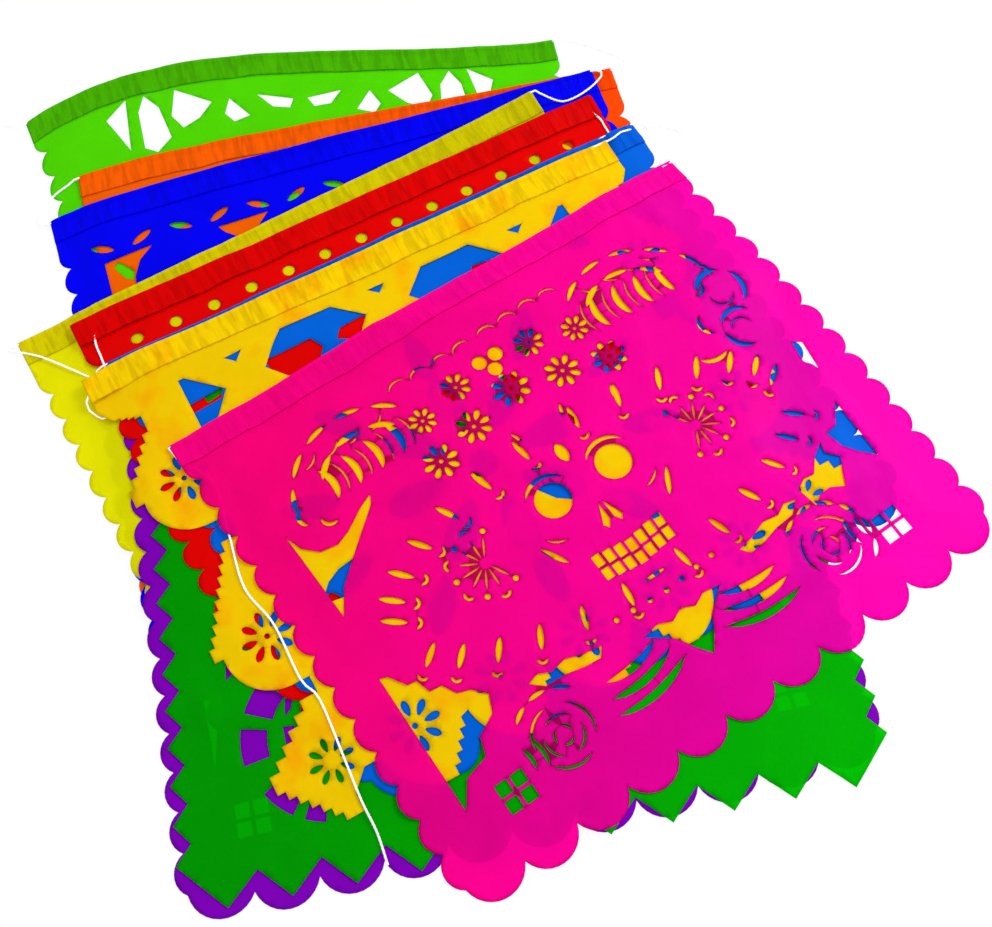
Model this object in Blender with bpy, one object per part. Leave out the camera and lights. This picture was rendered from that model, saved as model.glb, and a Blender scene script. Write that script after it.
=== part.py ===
"""A papel picado banner: ten cut film flags hemmed over one string, lying fanned out in a pile.

All lengths are in metres. Each flag is drawn flat in its own frame, where u runs along the fold
from the left corner and v runs down the face. Its cut sheet becomes a thin plate, and the top
edge is then turned over the string and laid back on the face as a hem. The flags lie one on
another as they came out of the packet, each raised only by what lies under it, and sag from the
stacked hems to their feet.
"""
import math
from dataclasses import dataclass, field
from typing import Callable

import bmesh
import bpy
from mathutils import Matrix, Vector
from mathutils.geometry import delaunay_2d_cdt

# Film, string and the clearance between pieces that touch
FILM = 0.0002
STRING = 0.0015
GAP = 0.0003

# Hem
HEM_DEPTH = 0.019
HEM_SLOPE = math.radians(35)
HEM_STEPS = 5
HEM_RADIUS = STRING / 2 + GAP + FILM

# Flags, whose patterns are drawn on a grid of a thousandth of a metre that stretches to their height
FLAG_HEIGHT = 0.358
GRID_ROWS = 358
SCALLOP_DEPTH = 0.0065
SCALLOP_COUNT = 13
FOOT_DEPTH = 0.0135
FOOT_COUNT = 11
TOOTH_DEPTH = 0.0095
TOOTH_PITCH = 0.0227
TOOTH_FOOT_DEPTH = 0.018
LOBE_DEPTH = 0.0095
LOBE_COUNT = 14
FAN_RADIUS = 0.035
FAN_STEP = 0.0056

# Lime flag, whose hem has slid along the string into a bow
BOW_RISE = 0.036
BOW_SHAPE = 0.6
BOW_LEAN = 0.24
BOW_STATIONS = 7

# String
LINK_SPACING = 0.034
LINK_LEAD = 0.003
EDGE_MARGIN = 0.002
REST_REACH = 0.008
STEEPEST = 0.5

# Middle of the pile of flags on the floor plan, which stands at the origin
PILE_MIDDLE = (-0.0080, 0.0043)

# Sag: the turn of the lines along which the sheets lie level, and how far down the pile each has
# its height set, at the hems, at the bend past the lowest hem and at the feet
SAG_TURN = math.radians(30)
SAG_AT = (-0.150, 0.020, 0.330)
SAG_REACH = 0.6

Point = tuple[float, float]
Loop = list[Point]


@dataclass
class Flag:
    """One cut sheet: its colour, its place on the floor and the functions that draw it."""
    name: str
    colour: tuple[float, float, float]
    corner: Point
    turn: float
    width: float
    border: Callable
    cuts: Callable
    first_cusp: float = 0.033
    open_hem: bool = False
    bowed: bool = False
    left_mouth: Point = (0.0, HEM_RADIUS)
    right_mouth: Point = (0.0, HEM_RADIUS)
    facets: int = 3
    heights: list[float] = field(default_factory=lambda: [0.0, 0.0, 0.0])


def bulge(start: Point, end: Point, depth: float, steps: int) -> Loop:
    """Points of the round edge from start to end, which stands depth off their chord."""
    first, last = Vector(start), Vector(end)
    half = (last - first).length / 2
    depth = min(depth, half)
    radius = (half * half + depth * depth) / (2 * depth)
    out = Vector((first.y - last.y, last.x - first.x)).normalized()
    centre = (first + last) / 2 + out * (depth - radius)
    sweep = 2 * math.asin(min(1.0, half / radius))
    arm = first - centre
    turns = [Matrix.Rotation(-sweep * step / steps, 2) for step in range(1, steps)]
    return [tuple(centre + turn @ arm) for turn in turns] + [tuple(last)]


def stair(start: Point, end: Point, steps: int, down_first: bool) -> Loop:
    """Corners of a flight of square steps from start to end."""
    (u, v), (end_u, end_v) = start, end
    run, rise = (end_u - u) / steps, (end_v - v) / steps
    points = []
    for _ in range(steps):
        points.append((u, v + rise) if down_first else (u + run, v))
        u, v = u + run, v + rise
        points.append((u, v))
    return points


def mirrored(loop: Loop, width: float) -> Loop:
    """The same loop on the other side of the flag's middle line."""
    return [(width - u, v) for u, v in reversed(loop)]


def petal(u: float, v: float, length: float, breadth: float, angle: float) -> Loop:
    """A slit with two points, whose middle lies at u, v and whose length lies along angle."""
    along = Vector((math.cos(angle), math.sin(angle)))
    across = Vector((-along.y, along.x))
    middle = Vector((u, v))
    shape = ((-0.5, 0), (0, -0.5), (0.5, 0), (0, 0.5))
    return [tuple(middle + along * (a * length) + across * (b * breadth)) for a, b in shape]


def disc(u: float, v: float, radius: float, sides: int = 6) -> Loop:
    """A round hole."""
    turns = [2 * math.pi * side / sides for side in range(sides)]
    return [(u + radius * math.cos(turn), v + radius * math.sin(turn)) for turn in turns]


def daisy(u: float, v: float, petals: int, reach: float, breadth: float, eye: float) -> list[Loop]:
    """A ring of petals that point at a small round eye."""
    loops = []
    for number in range(petals):
        angle = 2 * math.pi * number / petals
        middle = reach * 0.69
        at = (u + middle * math.cos(angle), v + middle * math.sin(angle))
        loops.append(petal(*at, reach * 0.54, breadth, angle))
    return loops + ([disc(u, v, eye, 4)] if eye else [])


def panes(u: float, v: float, pane: float, bar: float) -> list[Loop]:
    """Four small square windows, two by two, with bars between them."""
    loops = []
    for column in (0, 1):
        for row in (0, 1):
            left, top = u + column * (pane + bar), v + row * (pane + bar)
            square = [(0, 0), (pane, 0), (pane, pane), (0, pane)]
            loops.append([(left + a, top + b) for a, b in square])
    return loops


def fitted(loop: Loop) -> Loop:
    """A loop of the pattern grid, stretched down the sheet to the flag's height."""
    return [(u, v * 1000 / GRID_ROWS * FLAG_HEIGHT) for u, v in loop]


def both_sides(loops: list[Loop], width: float) -> list[Loop]:
    """The loops of the left half, and their mirror images."""
    return loops + [mirrored(loop, width) for loop in loops]


def shoulder(flag: Flag, inset: float) -> Loop:
    """The plain start of a left side, from the hem down to its first cusp."""
    start = max(HEM_DEPTH, flag.first_cusp - 0.013)
    return [(0, HEM_RADIUS), (0, start)] + bulge((0, start), (inset, flag.first_cusp), inset * 0.35, 2)


def scalloped(flag: Flag) -> tuple[Loop, Loop]:
    """Left side and foot of a flag with round scallops."""
    foot = FLAG_HEIGHT - FOOT_DEPTH
    last = foot - SCALLOP_DEPTH
    side = shoulder(flag, SCALLOP_DEPTH)
    pitch = (last - flag.first_cusp) / SCALLOP_COUNT
    for number in range(SCALLOP_COUNT):
        top = flag.first_cusp + number * pitch
        side += bulge((SCALLOP_DEPTH, top), (SCALLOP_DEPTH, top + pitch), SCALLOP_DEPTH, flag.facets)
    return side, foot_scallops(flag, SCALLOP_DEPTH, last, foot)


def foot_scallops(flag: Flag, inset: float, corner: float, foot: float) -> Loop:
    """Round scallops from one bottom corner to the other."""
    pitch = (flag.width - 2 * inset) / FOOT_COUNT
    start = (inset, corner)
    path = []
    for number in range(1, FOOT_COUNT + 1):
        end = (inset + number * pitch, foot if number < FOOT_COUNT else corner)
        path += bulge(start, end, FOOT_DEPTH, flag.facets)
        start = end
    return path


def lobed(flag: Flag) -> tuple[Loop, Loop]:
    """Left side and foot of a flag with nearly half round lobes."""
    foot = FLAG_HEIGHT - FOOT_DEPTH
    last = foot - LOBE_DEPTH
    side = shoulder(flag, LOBE_DEPTH)
    pitch = (last - flag.first_cusp) / LOBE_COUNT
    for number in range(LOBE_COUNT):
        top = flag.first_cusp + number * pitch
        side += bulge((LOBE_DEPTH, top), (LOBE_DEPTH, top + pitch), LOBE_DEPTH, flag.facets)
    return side, foot_scallops(flag, LOBE_DEPTH, last, foot)


def toothed(flag: Flag) -> tuple[Loop, Loop]:
    """Left side and foot of a flag with square teeth."""
    corner = FLAG_HEIGHT - TOOTH_FOOT_DEPTH - TOOTH_DEPTH
    teeth = int((corner - HEM_DEPTH) / TOOTH_PITCH)
    side = [(0, HEM_RADIUS), (0, corner - teeth * TOOTH_PITCH)]
    for number in range(teeth, 0, -1):
        tip = corner - number * TOOTH_PITCH
        side += [(TOOTH_DEPTH, tip + TOOTH_PITCH / 2), (0, tip + TOOTH_PITCH)]
    lead = FLAG_HEIGHT - corner
    pitch = (flag.width - 2 * lead) / (FOOT_COUNT - 1)
    path = [(lead, FLAG_HEIGHT)]
    for number in range(1, FOOT_COUNT):
        tip = lead + number * pitch
        path += [(tip - pitch / 2, FLAG_HEIGHT - TOOTH_FOOT_DEPTH), (tip, FLAG_HEIGHT)]
    return side, path + [(flag.width, corner)]


def side_fan(flag: Flag, middle: float, top: float, stepped_foot: bool) -> Loop:
    """One fan of a left side, from its stepped shoulder down to the notch under it."""
    waist = FAN_RADIUS + 0.012
    rim = middle - FAN_STEP * 1.6
    flights = max(2, round((rim - top) / (FAN_STEP * 1.6)))
    path = [(waist, top), (FAN_RADIUS, top)] + stair((FAN_RADIUS, top), (0, rim), flights, True)
    if stepped_foot:
        path += [(0, middle + FAN_STEP / 2)]
        path += stair((0, middle + FAN_STEP / 2), (FAN_RADIUS - FAN_STEP, middle + FAN_RADIUS), 4, False)
    else:
        path += [(0, middle), (FAN_STEP, middle)]
        path += bulge((FAN_STEP, middle), (FAN_RADIUS, middle + FAN_RADIUS), FAN_RADIUS * 0.27, flag.facets)
        path += [(waist, middle + FAN_RADIUS)]
    return path


def fanned(flag: Flag) -> tuple[Loop, Loop]:
    """Left side and foot of a flag edged with stepped fans."""
    side = [(0, HEM_RADIUS), (0, HEM_DEPTH + 0.009), (0.008, HEM_DEPTH + 0.019)]
    side += stair((0.008, HEM_DEPTH + 0.019), (0.025, HEM_DEPTH + 0.027), 3, False)
    side += [(0.025, HEM_DEPTH + 0.032)]
    side += stair((0.025, HEM_DEPTH + 0.032), (-0.003, 0.090), 4, True)
    side += [(-0.003, 0.103), (0.003, 0.103)]
    side += bulge((0.003, 0.103), (0.032, 0.137), 0.0095, flag.facets) + [(0.047, 0.137)]
    side += side_fan(flag, fan_middles()[1], 0.152, False)
    side += side_fan(flag, fan_middles()[2], 0.268, True)
    return side[:2] + fitted(side[2:]), fitted(fan_feet(flag))


def fan_middles() -> list[float]:
    """How far down the three daisies of a side stand."""
    return [0.100, 0.222, 0.309]


def fan_feet(flag: Flag) -> Loop:
    """The foot of a fanned flag: five fans between the two corner ones."""
    low = fan_middles()[2] + FAN_RADIUS
    path = [(FAN_RADIUS + FAN_STEP, low)]
    half = [(FAN_RADIUS + FAN_STEP, low - 2 * FAN_STEP), (FAN_RADIUS + 3 * FAN_STEP, low - 4 * FAN_STEP)]
    path += half
    middles = foot_fan_middles(flag)
    pitch = middles[1] - middles[0]
    for number, middle in enumerate(middles):
        left, right = middle - pitch / 2 + 0.003, middle + pitch / 2 - 0.003
        notch = low - 4 * FAN_STEP
        tip = GRID_ROWS / 1000 - 0.005
        round_part = [(left, notch), (left, notch + 0.002)]
        round_part += bulge((left, notch + 0.002), (middle, tip), 0.006, flag.facets)
        step_part = [(middle + FAN_STEP, tip)]
        step_part += stair((middle + FAN_STEP, tip), (right, notch + 0.002), 3, False)
        loop = round_part + step_part
        if number > 2:
            loop = [(2 * middle - u, v) for u, v in reversed(loop)]
        path += loop
    return path + [(flag.width - u, v) for u, v in reversed(half)] + [(flag.width - path[0][0], low)]


def foot_fan_middles(flag: Flag) -> list[float]:
    """How far along the five daisies of the foot stand."""
    pitch = (flag.width / 2 - 0.089) / 2
    return [flag.width / 2 + number * pitch for number in (-2, -1, 0, 1, 2)]


def slit_row(flag: Flag, pitch: float, depth: float) -> list[float]:
    """Where along the flag the holes of a row stand, spread evenly about its middle."""
    count = int((flag.width - 2 * depth) / pitch) + 1
    start = flag.width / 2 - (count - 1) * pitch / 2
    return [start + number * pitch for number in range(count)]


def lime_cuts(flag: Flag) -> list[Loop]:
    """Kites and petals in a row, with a medallion under them."""
    left = [
        [(0.054, 0.032), (0.072, 0.020), (0.066, 0.064)],
        [(0.086, 0.021), (0.095, 0.034), (0.099, 0.062), (0.086, 0.072), (0.077, 0.066), (0.079, 0.034)],
        [(0.110, 0.022), (0.136, 0.038), (0.124, 0.050), (0.110, 0.056), (0.103, 0.044)],
        [(0.150, 0.037), (0.163, 0.054), (0.150, 0.058), (0.144, 0.050)],
        [(0.172, 0.036), (0.199, 0.042), (0.195, 0.050), (0.182, 0.048)],
    ]
    left += [petal(0.060, v, 0.050, 0.016, math.pi / 2) for v in (0.135, 0.225)]
    return both_sides(left, flag.width) + daisy(flag.width / 2, 0.205, 6, 0.060, 0.0155, 0)


def orange_cuts(flag: Flag) -> list[Loop]:
    """Diamonds down the sides and round a star."""
    left = [petal(0.042, v, 0.036, 0.018, math.pi / 2) for v in (0.095, 0.165, 0.235)]
    return both_sides(left, flag.width) + daisy(flag.width / 2, 0.185, 6, 0.060, 0.015, 0)


def blue_cuts(flag: Flag) -> list[Loop]:
    """A row of leaf slits that lean to and fro, over curved corner windows."""
    loops = []
    for number, u in enumerate(slit_row(flag, 0.0288, 0.032)):
        lean = math.radians(25 if number % 2 == 0 else -29)
        loops.append(petal(u, 0.0315, 0.0180, 0.0058, lean))
    left = [
        [(0.030, 0.052), (0.066, 0.049), (0.055, 0.058), (0.049, 0.070), (0.046, 0.088), (0.030, 0.092)],
        [(0.114, 0.050), (0.152, 0.048), (0.140, 0.060), (0.128, 0.064), (0.118, 0.056)],
    ]
    left.append(petal(0.040, 0.180, 0.060, 0.016, math.pi / 2))
    return loops + both_sides(left, flag.width) + daisy(flag.width / 2, 0.205, 6, 0.055, 0.013, 0)


def lemon_cuts(flag: Flag) -> list[Loop]:
    """Petals down the sides and two daisies."""
    left = [petal(0.055, v, 0.040, 0.016, math.pi / 2) for v in (0.130, 0.235)]
    return both_sides(left, flag.width) + daisy(flag.width / 2, 0.190, 6, 0.055, 0.014, 0)


def check_cuts(flag: Flag) -> list[Loop]:
    """Tall side windows and the small panes of the bottom corners."""
    left = [[(0.032, 0.225), (0.045, 0.240), (0.050, 0.262), (0.036, 0.285)]]
    left.append([(0.046, 0.296), (0.0655, 0.296), (0.0655, 0.3155), (0.046, 0.3155)])
    return both_sides(left, flag.width) + daisy(flag.width / 2, 0.190, 6, 0.060, 0.016, 0)


def ring_window(u: float, v: float, start: float, end: float, inner: float, outer: float) -> Loop:
    """A window between two rings, from one angle to another in degrees."""
    near = [math.radians(angle) for angle in (start, end)]
    far = near[::-1]
    points = [(u + outer * math.cos(turn), v + outer * math.sin(turn)) for turn in near]
    return points + [(u + inner * math.cos(turn), v + inner * math.sin(turn)) for turn in far]


def green_cuts(flag: Flag) -> list[Loop]:
    """Two wheels of windows over the bottom corners and a larger one between them."""
    left = []
    for start, end, inner in ((105, 135, 39), (150, 185, 37), (200, 235, 37)):
        left.append(ring_window(0.097, 0.270, start, end, inner / 1000, 0.052))
    left += [petal(0.045, v, 0.036, 0.014, math.pi / 2) for v in (0.100, 0.165)]
    return both_sides(left, flag.width) + daisy(flag.width / 2, 0.150, 6, 0.055, 0.014, 0)


def red_cuts(flag: Flag) -> list[Loop]:
    """A row of round holes over three wide windows."""
    loops = [disc(u, 0.0315, 0.0045, 5) for u in slit_row(flag, 0.0287, 0.032)]
    left = [
        [(0.060, 0.080), (0.104, 0.080), (0.112, 0.092), (0.060, 0.102)],
        petal(0.055, 0.245, 0.040, 0.018, math.pi / 2),
    ]
    middle = [(0.176, 0.078), (0.243, 0.078), (0.231, 0.098), (0.188, 0.098)]
    loops.append([(flag.width / 2 + u - 0.2095, v) for u, v in middle])
    return loops + both_sides(left, flag.width)


def light_blue_cuts(flag: Flag) -> list[Loop]:
    """Half round windows under the hem, and long ones down the sides."""
    left = [
        [(0.035, 0.057), (0.060, 0.055), (0.056, 0.062), (0.035, 0.064)],
        [(0.094, 0.052), (0.128, 0.053), (0.133, 0.062), (0.122, 0.074), (0.104, 0.076), (0.094, 0.066)],
        [(0.150, 0.055), (0.168, 0.053), (0.176, 0.066), (0.160, 0.070), (0.144, 0.062)],
        petal(0.050, 0.150, 0.040, 0.016, math.pi / 2),
        petal(0.050, 0.240, 0.040, 0.016, math.pi / 2),
    ]
    return both_sides(left, flag.width)


def gold_cuts(flag: Flag) -> list[Loop]:
    """Arched windows under the hem and a daisy on each fan of the border."""
    left = [
        [(0.057, 0.033), (0.061, 0.033), (0.083, 0.053), (0.068, 0.071), (0.057, 0.073)],
        [(0.091, 0.033), (0.104, 0.033), (0.0975, 0.039)],
        [(0.113, 0.052), (0.134, 0.030), (0.172, 0.030), (0.191, 0.049), (0.176, 0.068), (0.128, 0.068)],
    ]
    middles = fan_middles()
    left += daisy(0.0325, middles[0], 8, 0.0185, 0.0048, 0)
    left += daisy(0.035, middles[1], 8, 0.0185, 0.0048, 0)
    left += daisy(0.0365, middles[2], 8, 0.0165, 0.0040, 0)
    for u in foot_fan_middles(flag)[:2]:
        left += daisy(u, 0.315, 5, 0.0185, 0.0058, 0)
    loops = both_sides(left, flag.width)
    loops.append([(flag.width / 2 + u, v) for u, v in ((-0.0065, 0.0295), (0.0065, 0.0295), (0, 0.036))])
    return loops + daisy(flag.width / 2, 0.315, 5, 0.0185, 0.0058, 0)


def skull_cuts(middle: float) -> list[Loop]:
    """Eyes, nose and teeth of a sugar skull that looks straight ahead."""
    loops = [petal(middle, 0.118, 0.016, 0.009, math.pi / 2)]
    for side in (-1, 1):
        loops.append(disc(middle + side * 0.024, 0.150, 0.0125, 8))
        nose = [(0.0015, 0.170), (0.0075, 0.184), (0.0050, 0.188), (0.0015, 0.183)]
        loops.append([(middle + side * u, v) for u, v in nose])
        loops.append(petal(middle + side * 0.027, 0.129, 0.020, 0.0035, side * math.radians(-12)))
        loops.append(petal(middle + side * 0.043, 0.183, 0.017, 0.004, side * math.radians(-60)))
    for number in range(-3, 4):
        u, v = middle + number * 0.0078, 0.200 - abs(number) * 0.0011
        box = ((-0.0026, 0), (0.0026, 0), (0.0026, 0.0160), (-0.0026, 0.0160))
        loops.append([(u + a, v + b) for a, b in box])
    return loops


def magenta_cuts(flag: Flag) -> list[Loop]:
    """A sugar skull under a crown of daisies, in a sunburst of slits, between leafy corners."""
    middle = flag.width / 2
    loops = skull_cuts(middle) + daisy(middle, 0.086, 8, 0.0150, 0.0042, 0)
    left = daisy(middle - 0.034, 0.094, 6, 0.0120, 0.0036, 0)
    for number in range(6):
        angle = math.radians(205 - number * 22)
        at = (middle + 0.084 * math.cos(angle), 0.165 + 0.082 * math.sin(angle))
        left.append(petal(*at, 0.022, 0.0056, angle))
    left += [
        [(0.031, 0.100), (0.048, 0.116), (0.070, 0.108), (0.088, 0.100), (0.058, 0.130), (0.034, 0.158)],
        [(0.031, 0.208), (0.042, 0.214), (0.052, 0.229), (0.066, 0.238), (0.078, 0.250),
         (0.066, 0.262), (0.052, 0.276), (0.040, 0.284), (0.031, 0.290)],
    ]
    for number in range(3):
        left.append(petal(0.065 + number * 0.034, 0.062 - number * 0.002, 0.024, 0.0050, math.radians(-8)))
        left.append(petal(0.096 + number * 0.020, 0.283 + number * 0.006, 0.030, 0.0046, math.radians(35)))
    left += panes(0.046, 0.296, 0.0085, 0.0025)
    return loops + both_sides(left, flag.width)


FLAGS = [
    Flag("lime_flag", (0.35, 0.80, 0.0), (-0.3445, 0.2442), 11.62, 0.409, scalloped, lime_cuts,
         bowed=True, facets=2),
    Flag("orange_flag", (1.0, 0.16, 0.0), (-0.2972, 0.1934), 14.77, 0.411, scalloped, orange_cuts,
         first_cusp=0.045, facets=2),
    Flag("blue_flag", (0.0, 0.0, 0.80), (-0.3121, 0.1540), 19.32, 0.4205, scalloped, blue_cuts,
         first_cusp=0.045),
    Flag("lemon_flag", (0.82, 0.85, 0.0), (-0.3197, 0.0535), 31.23, 0.418, scalloped, lemon_cuts,
         first_cusp=0.049, facets=2),
    Flag("purple_flag", (0.22, 0.0, 0.45), (-0.2459, 0.0224), 12.94, 0.420, scalloped, check_cuts,
         facets=2),
    Flag("green_flag", (0.0, 0.32, 0.0), (-0.2319, 0.0349), 10.41, 0.425, toothed, green_cuts),
    Flag("red_flag", (0.75, 0.0, 0.0), (-0.2840, 0.0656), 28.96, 0.419, lobed, red_cuts,
         first_cusp=0.040, open_hem=True, left_mouth=(0.0107, HEM_DEPTH),
         right_mouth=(0.0035, HEM_DEPTH)),
    Flag("light_blue_flag", (0.0, 0.16, 0.80), (-0.2537, 0.0337), 29.57, 0.423, lobed,
         light_blue_cuts, first_cusp=0.040, facets=2),
    Flag("gold_flag", (0.95, 0.62, 0.0), (-0.2692, 0.0219), 29.28, 0.415, fanned, gold_cuts,
         open_hem=True, left_mouth=(0.0, 0.0165)),
    Flag("magenta_flag", (1.0, 0.0, 0.30), (-0.2037, -0.0286), 34.72, 0.419, scalloped, magenta_cuts),
]


def turned(flag: Flag, u: float, v: float) -> Vector:
    """The point of the floor plan under a place that is across and down a flag."""
    angle = math.radians(flag.turn)
    cosine, sine = math.cos(angle), math.sin(angle)
    return Vector((flag.corner[0] + cosine * u + sine * v, flag.corner[1] + sine * u - cosine * v))


def to_floor(flag: Flag, u: float, v: float) -> Vector:
    """The point of the floor plan under a point of a flag's sheet."""
    return turned(flag, *sheet_place(flag, u, v))


def from_floor(flag: Flag, place: Point) -> Point:
    """The point of an unbowed flag over a point of the floor plan."""
    angle = math.radians(flag.turn)
    cosine, sine = math.cos(angle), math.sin(angle)
    x, y = place[0] - flag.corner[0], place[1] - flag.corner[1]
    return cosine * x + sine * y, sine * x - cosine * y


def downhill(place: Point) -> float:
    """How far down the pile a point of the floor plan lies."""
    return math.sin(SAG_TURN) * place[0] - math.cos(SAG_TURN) * place[1]


def height_between(heights: list[float], distance: float) -> float:
    """The height of a sagging sheet so far down the pile."""
    start, bend, foot = SAG_AT
    if distance > bend:
        return heights[1] + (heights[2] - heights[1]) * (distance - bend) / (foot - bend)
    return heights[0] + (heights[1] - heights[0]) * (distance - start) / (bend - start)


def height_at(flag: Flag, place: Point) -> float:
    """How high a flag's underside lies over a point of the floor plan."""
    return height_between(flag.heights, downhill(place))


def bend_line(flag: Flag) -> list[Point]:
    """The two ends of the line on the flag where its sag bends."""
    sine, cosine = math.sin(SAG_TURN), math.cos(SAG_TURN)
    ends = []
    for reach in (-SAG_REACH, SAG_REACH):
        place = (sine * SAG_AT[1] + cosine * reach, -cosine * SAG_AT[1] + sine * reach)
        ends.append(from_floor(flag, place))
    return ends


def covers(flag: Flag, place: Point) -> bool:
    """Whether a flag lies over a point of the floor plan, or nearly does."""
    u, v = from_floor(flag, place)
    inside = -EDGE_MARGIN <= u <= flag.width + EDGE_MARGIN
    return inside and -EDGE_MARGIN <= v <= FLAG_HEIGHT + EDGE_MARGIN


def bowed_place(flag: Flag, u: float, v: float) -> Point:
    """Where the slid hem carries a point of the lime flag."""
    part = min(max(u / flag.width, 0.0), 1.0)
    rise = BOW_RISE * max(math.sin(math.pi * part ** BOW_SHAPE), 0.0) ** 1.5
    fade = 1 - v / FLAG_HEIGHT
    lean = BOW_LEAN * (1 - part) ** 2 * v * (1 - v / (2 * FLAG_HEIGHT))
    return u + lean, v - rise * fade


def loop_depth() -> float:
    """How far down the face a pressed hem's round part reaches."""
    fall = 2 * HEM_RADIUS - FILM - (FILM + GAP)
    return HEM_RADIUS + fall / math.tan(HEM_SLOPE)


def hem_height(flag: Flag, pressed: bool) -> float:
    """How high the hem stands over the flag's underside, at its pressed part or its round part."""
    return 2 * FILM + GAP if pressed and not flag.open_hem else 2 * HEM_RADIUS


def hem_points(flag: Flag, v: float) -> list[Vector]:
    """Points of the floor plan along a line at depth v of a flag's hem."""
    count = math.ceil(flag.width / 0.005)
    return [to_floor(flag, flag.width * number / count, v) for number in range(count + 1)]


def top_under(flags: list[Flag], place: Point) -> float:
    """The highest surface of the given flags close to a point of the floor plan."""
    top = 0.0
    for flag in flags:
        u, v = from_floor(flag, place)
        if not -REST_REACH <= u <= flag.width + REST_REACH:
            continue
        if not -REST_REACH <= v <= FLAG_HEIGHT + REST_REACH:
            continue
        height = FILM
        if v < HEM_DEPTH + REST_REACH:
            height = hem_height(flag, True)
        if v < loop_depth() + REST_REACH:
            height = hem_height(flag, False)
        top = max(top, height_at(flag, place) + height)
    return top


@dataclass
class Stretch:
    """Points of the string's route over the floor plan, and the topmost flag that it lies on."""
    flag: str
    path: list[Point]


# The string between two hems, from each flag's end to the same end of the next flag
LINKS = [
    [Stretch("lime_flag", [(0.0693, 0.3272), (0.0955, 0.3170), (0.1120, 0.3068)])],
    [Stretch("lime_flag", [(-0.3040, 0.1878), (-0.3145, 0.1760), (-0.3215, 0.1570)])],
    [Stretch("blue_flag", [(0.0926, 0.2900), (0.0802, 0.2735), (0.0623, 0.2640), (0.0450, 0.2700)])],
    [Stretch("lemon_flag", [(-0.3255, 0.0490), (-0.3014, 0.0428), (-0.2740, 0.0310), (-0.2550, 0.0215)])],
    [Stretch("purple_flag", [(0.1760, 0.1190), (0.1890, 0.1190), (0.1970, 0.1160)])],
    [Stretch("green_flag", [(-0.2470, 0.0290), (-0.2640, 0.0130)]),
     Stretch("red_flag", [(-0.2560, 0.0080), (-0.2520, 0.0240), (-0.2597, 0.0429)])],
    [Stretch("red_flag", [(0.0931, 0.2412), (0.1010, 0.2290), (0.1190, 0.2270), (0.1260, 0.2400)])],
    [Stretch("light_blue_flag", [(-0.2600, 0.0270), (-0.2575, 0.0160), (-0.2470, -0.0030)]),
     Stretch("red_flag", [(-0.2520, -0.0100), (-0.2640, -0.0010)])],
    [Stretch("light_blue_flag", [(0.1050, 0.2330), (0.1190, 0.2410), (0.1360, 0.2430),
                                 (0.1540, 0.2330)])],
]
START = Stretch("lime_flag", [(-0.3600, 0.2440)])
TAIL = [
    Stretch("gold_flag", [(-0.2090, -0.0345), (-0.2000, -0.0425), (-0.1841, -0.0440),
                          (-0.1700, -0.0570), (-0.1586, -0.0900), (-0.1460, -0.1246),
                          (-0.1261, -0.1478), (-0.1072, -0.1821), (-0.0950, -0.1943),
                          (-0.0774, -0.2315), (-0.0670, -0.2538)]),
    Stretch("green_flag", [(-0.0576, -0.2710), (-0.0506, -0.2891)]),
]


def rested(flags: list[Flag], stretch: Stretch) -> list[Vector]:
    """The points of a stretch, each as high as the string's middle lies there."""
    names = [flag.name for flag in flags]
    under = flags[:names.index(stretch.flag) + 1]
    points = []
    for place in stretch.path:
        points.append(Vector((*place, top_under(under, place) + GAP + STRING / 2)))
    return points


def needs(flag: Flag, lower: list[Flag]) -> list[Point]:
    """How far down the pile, and how high, the flag has to clear a hem or the string."""
    found = []
    for under in lower:
        for depth, pressed in ((HEM_DEPTH, True), (loop_depth(), False)):
            for place in hem_points(under, depth):
                if covers(flag, place):
                    height = height_at(under, place) + hem_height(under, pressed)
                    found.append((downhill(place), height + GAP))
    names = [under.name for under in lower]
    for stretch in [stretch for link in LINKS for stretch in link] + TAIL:
        if stretch.flag in names:
            for place in rested(lower, stretch):
                if covers(flag, place):
                    found.append((downhill(place), place.z + STRING / 2 + GAP))
    return sorted(found, reverse=True)


def stack_flags(flags: list[Flag]) -> None:
    """Gives each flag the lowest heights that clear the hems and the string under it."""
    start, bend, foot = SAG_AT
    for number, flag in enumerate(flags[1:], 1):
        flag.heights = [height + FILM + GAP for height in flags[number - 1].heights]
        for distance, need in needs(flag, flags[:number]):
            short = max(0.0, need - height_between(flag.heights, distance))
            if distance > (start + bend) / 2:
                flag.heights[1] += short
                flag.heights[0] += short
            else:
                flag.heights[0] += short * (bend - start) / (bend - distance)


def hem_route(flag: Flag, right: bool) -> list[Point]:
    """The string's points at one end of a hem, from just outside its mouth inwards."""
    inset, mouth_v = flag.right_mouth if right else flag.left_mouth
    points = [(inset - LINK_LEAD, mouth_v)] if mouth_v < HEM_DEPTH else [(inset, mouth_v + LINK_LEAD)]
    if mouth_v > HEM_RADIUS:
        points.append((inset + 0.005, (mouth_v + HEM_RADIUS) / 2))
        points.append((inset + 0.018, HEM_RADIUS))
    return [(flag.width - u, v) for u, v in points] if right else points


def hem_string(flag: Flag, rightward: bool) -> list[Vector]:
    """The string's points through a whole hem, in the order in which it was threaded."""
    middle = []
    if flag.bowed:
        middle = [(u, HEM_RADIUS) for u in hem_stations(flag)]
    points = hem_route(flag, False) + middle + hem_route(flag, True)[::-1]
    places = [to_floor(flag, u, v) for u, v in points]
    route = [Vector((*place, height_at(flag, place) + HEM_RADIUS)) for place in places]
    return route if rightward else route[::-1]


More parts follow.
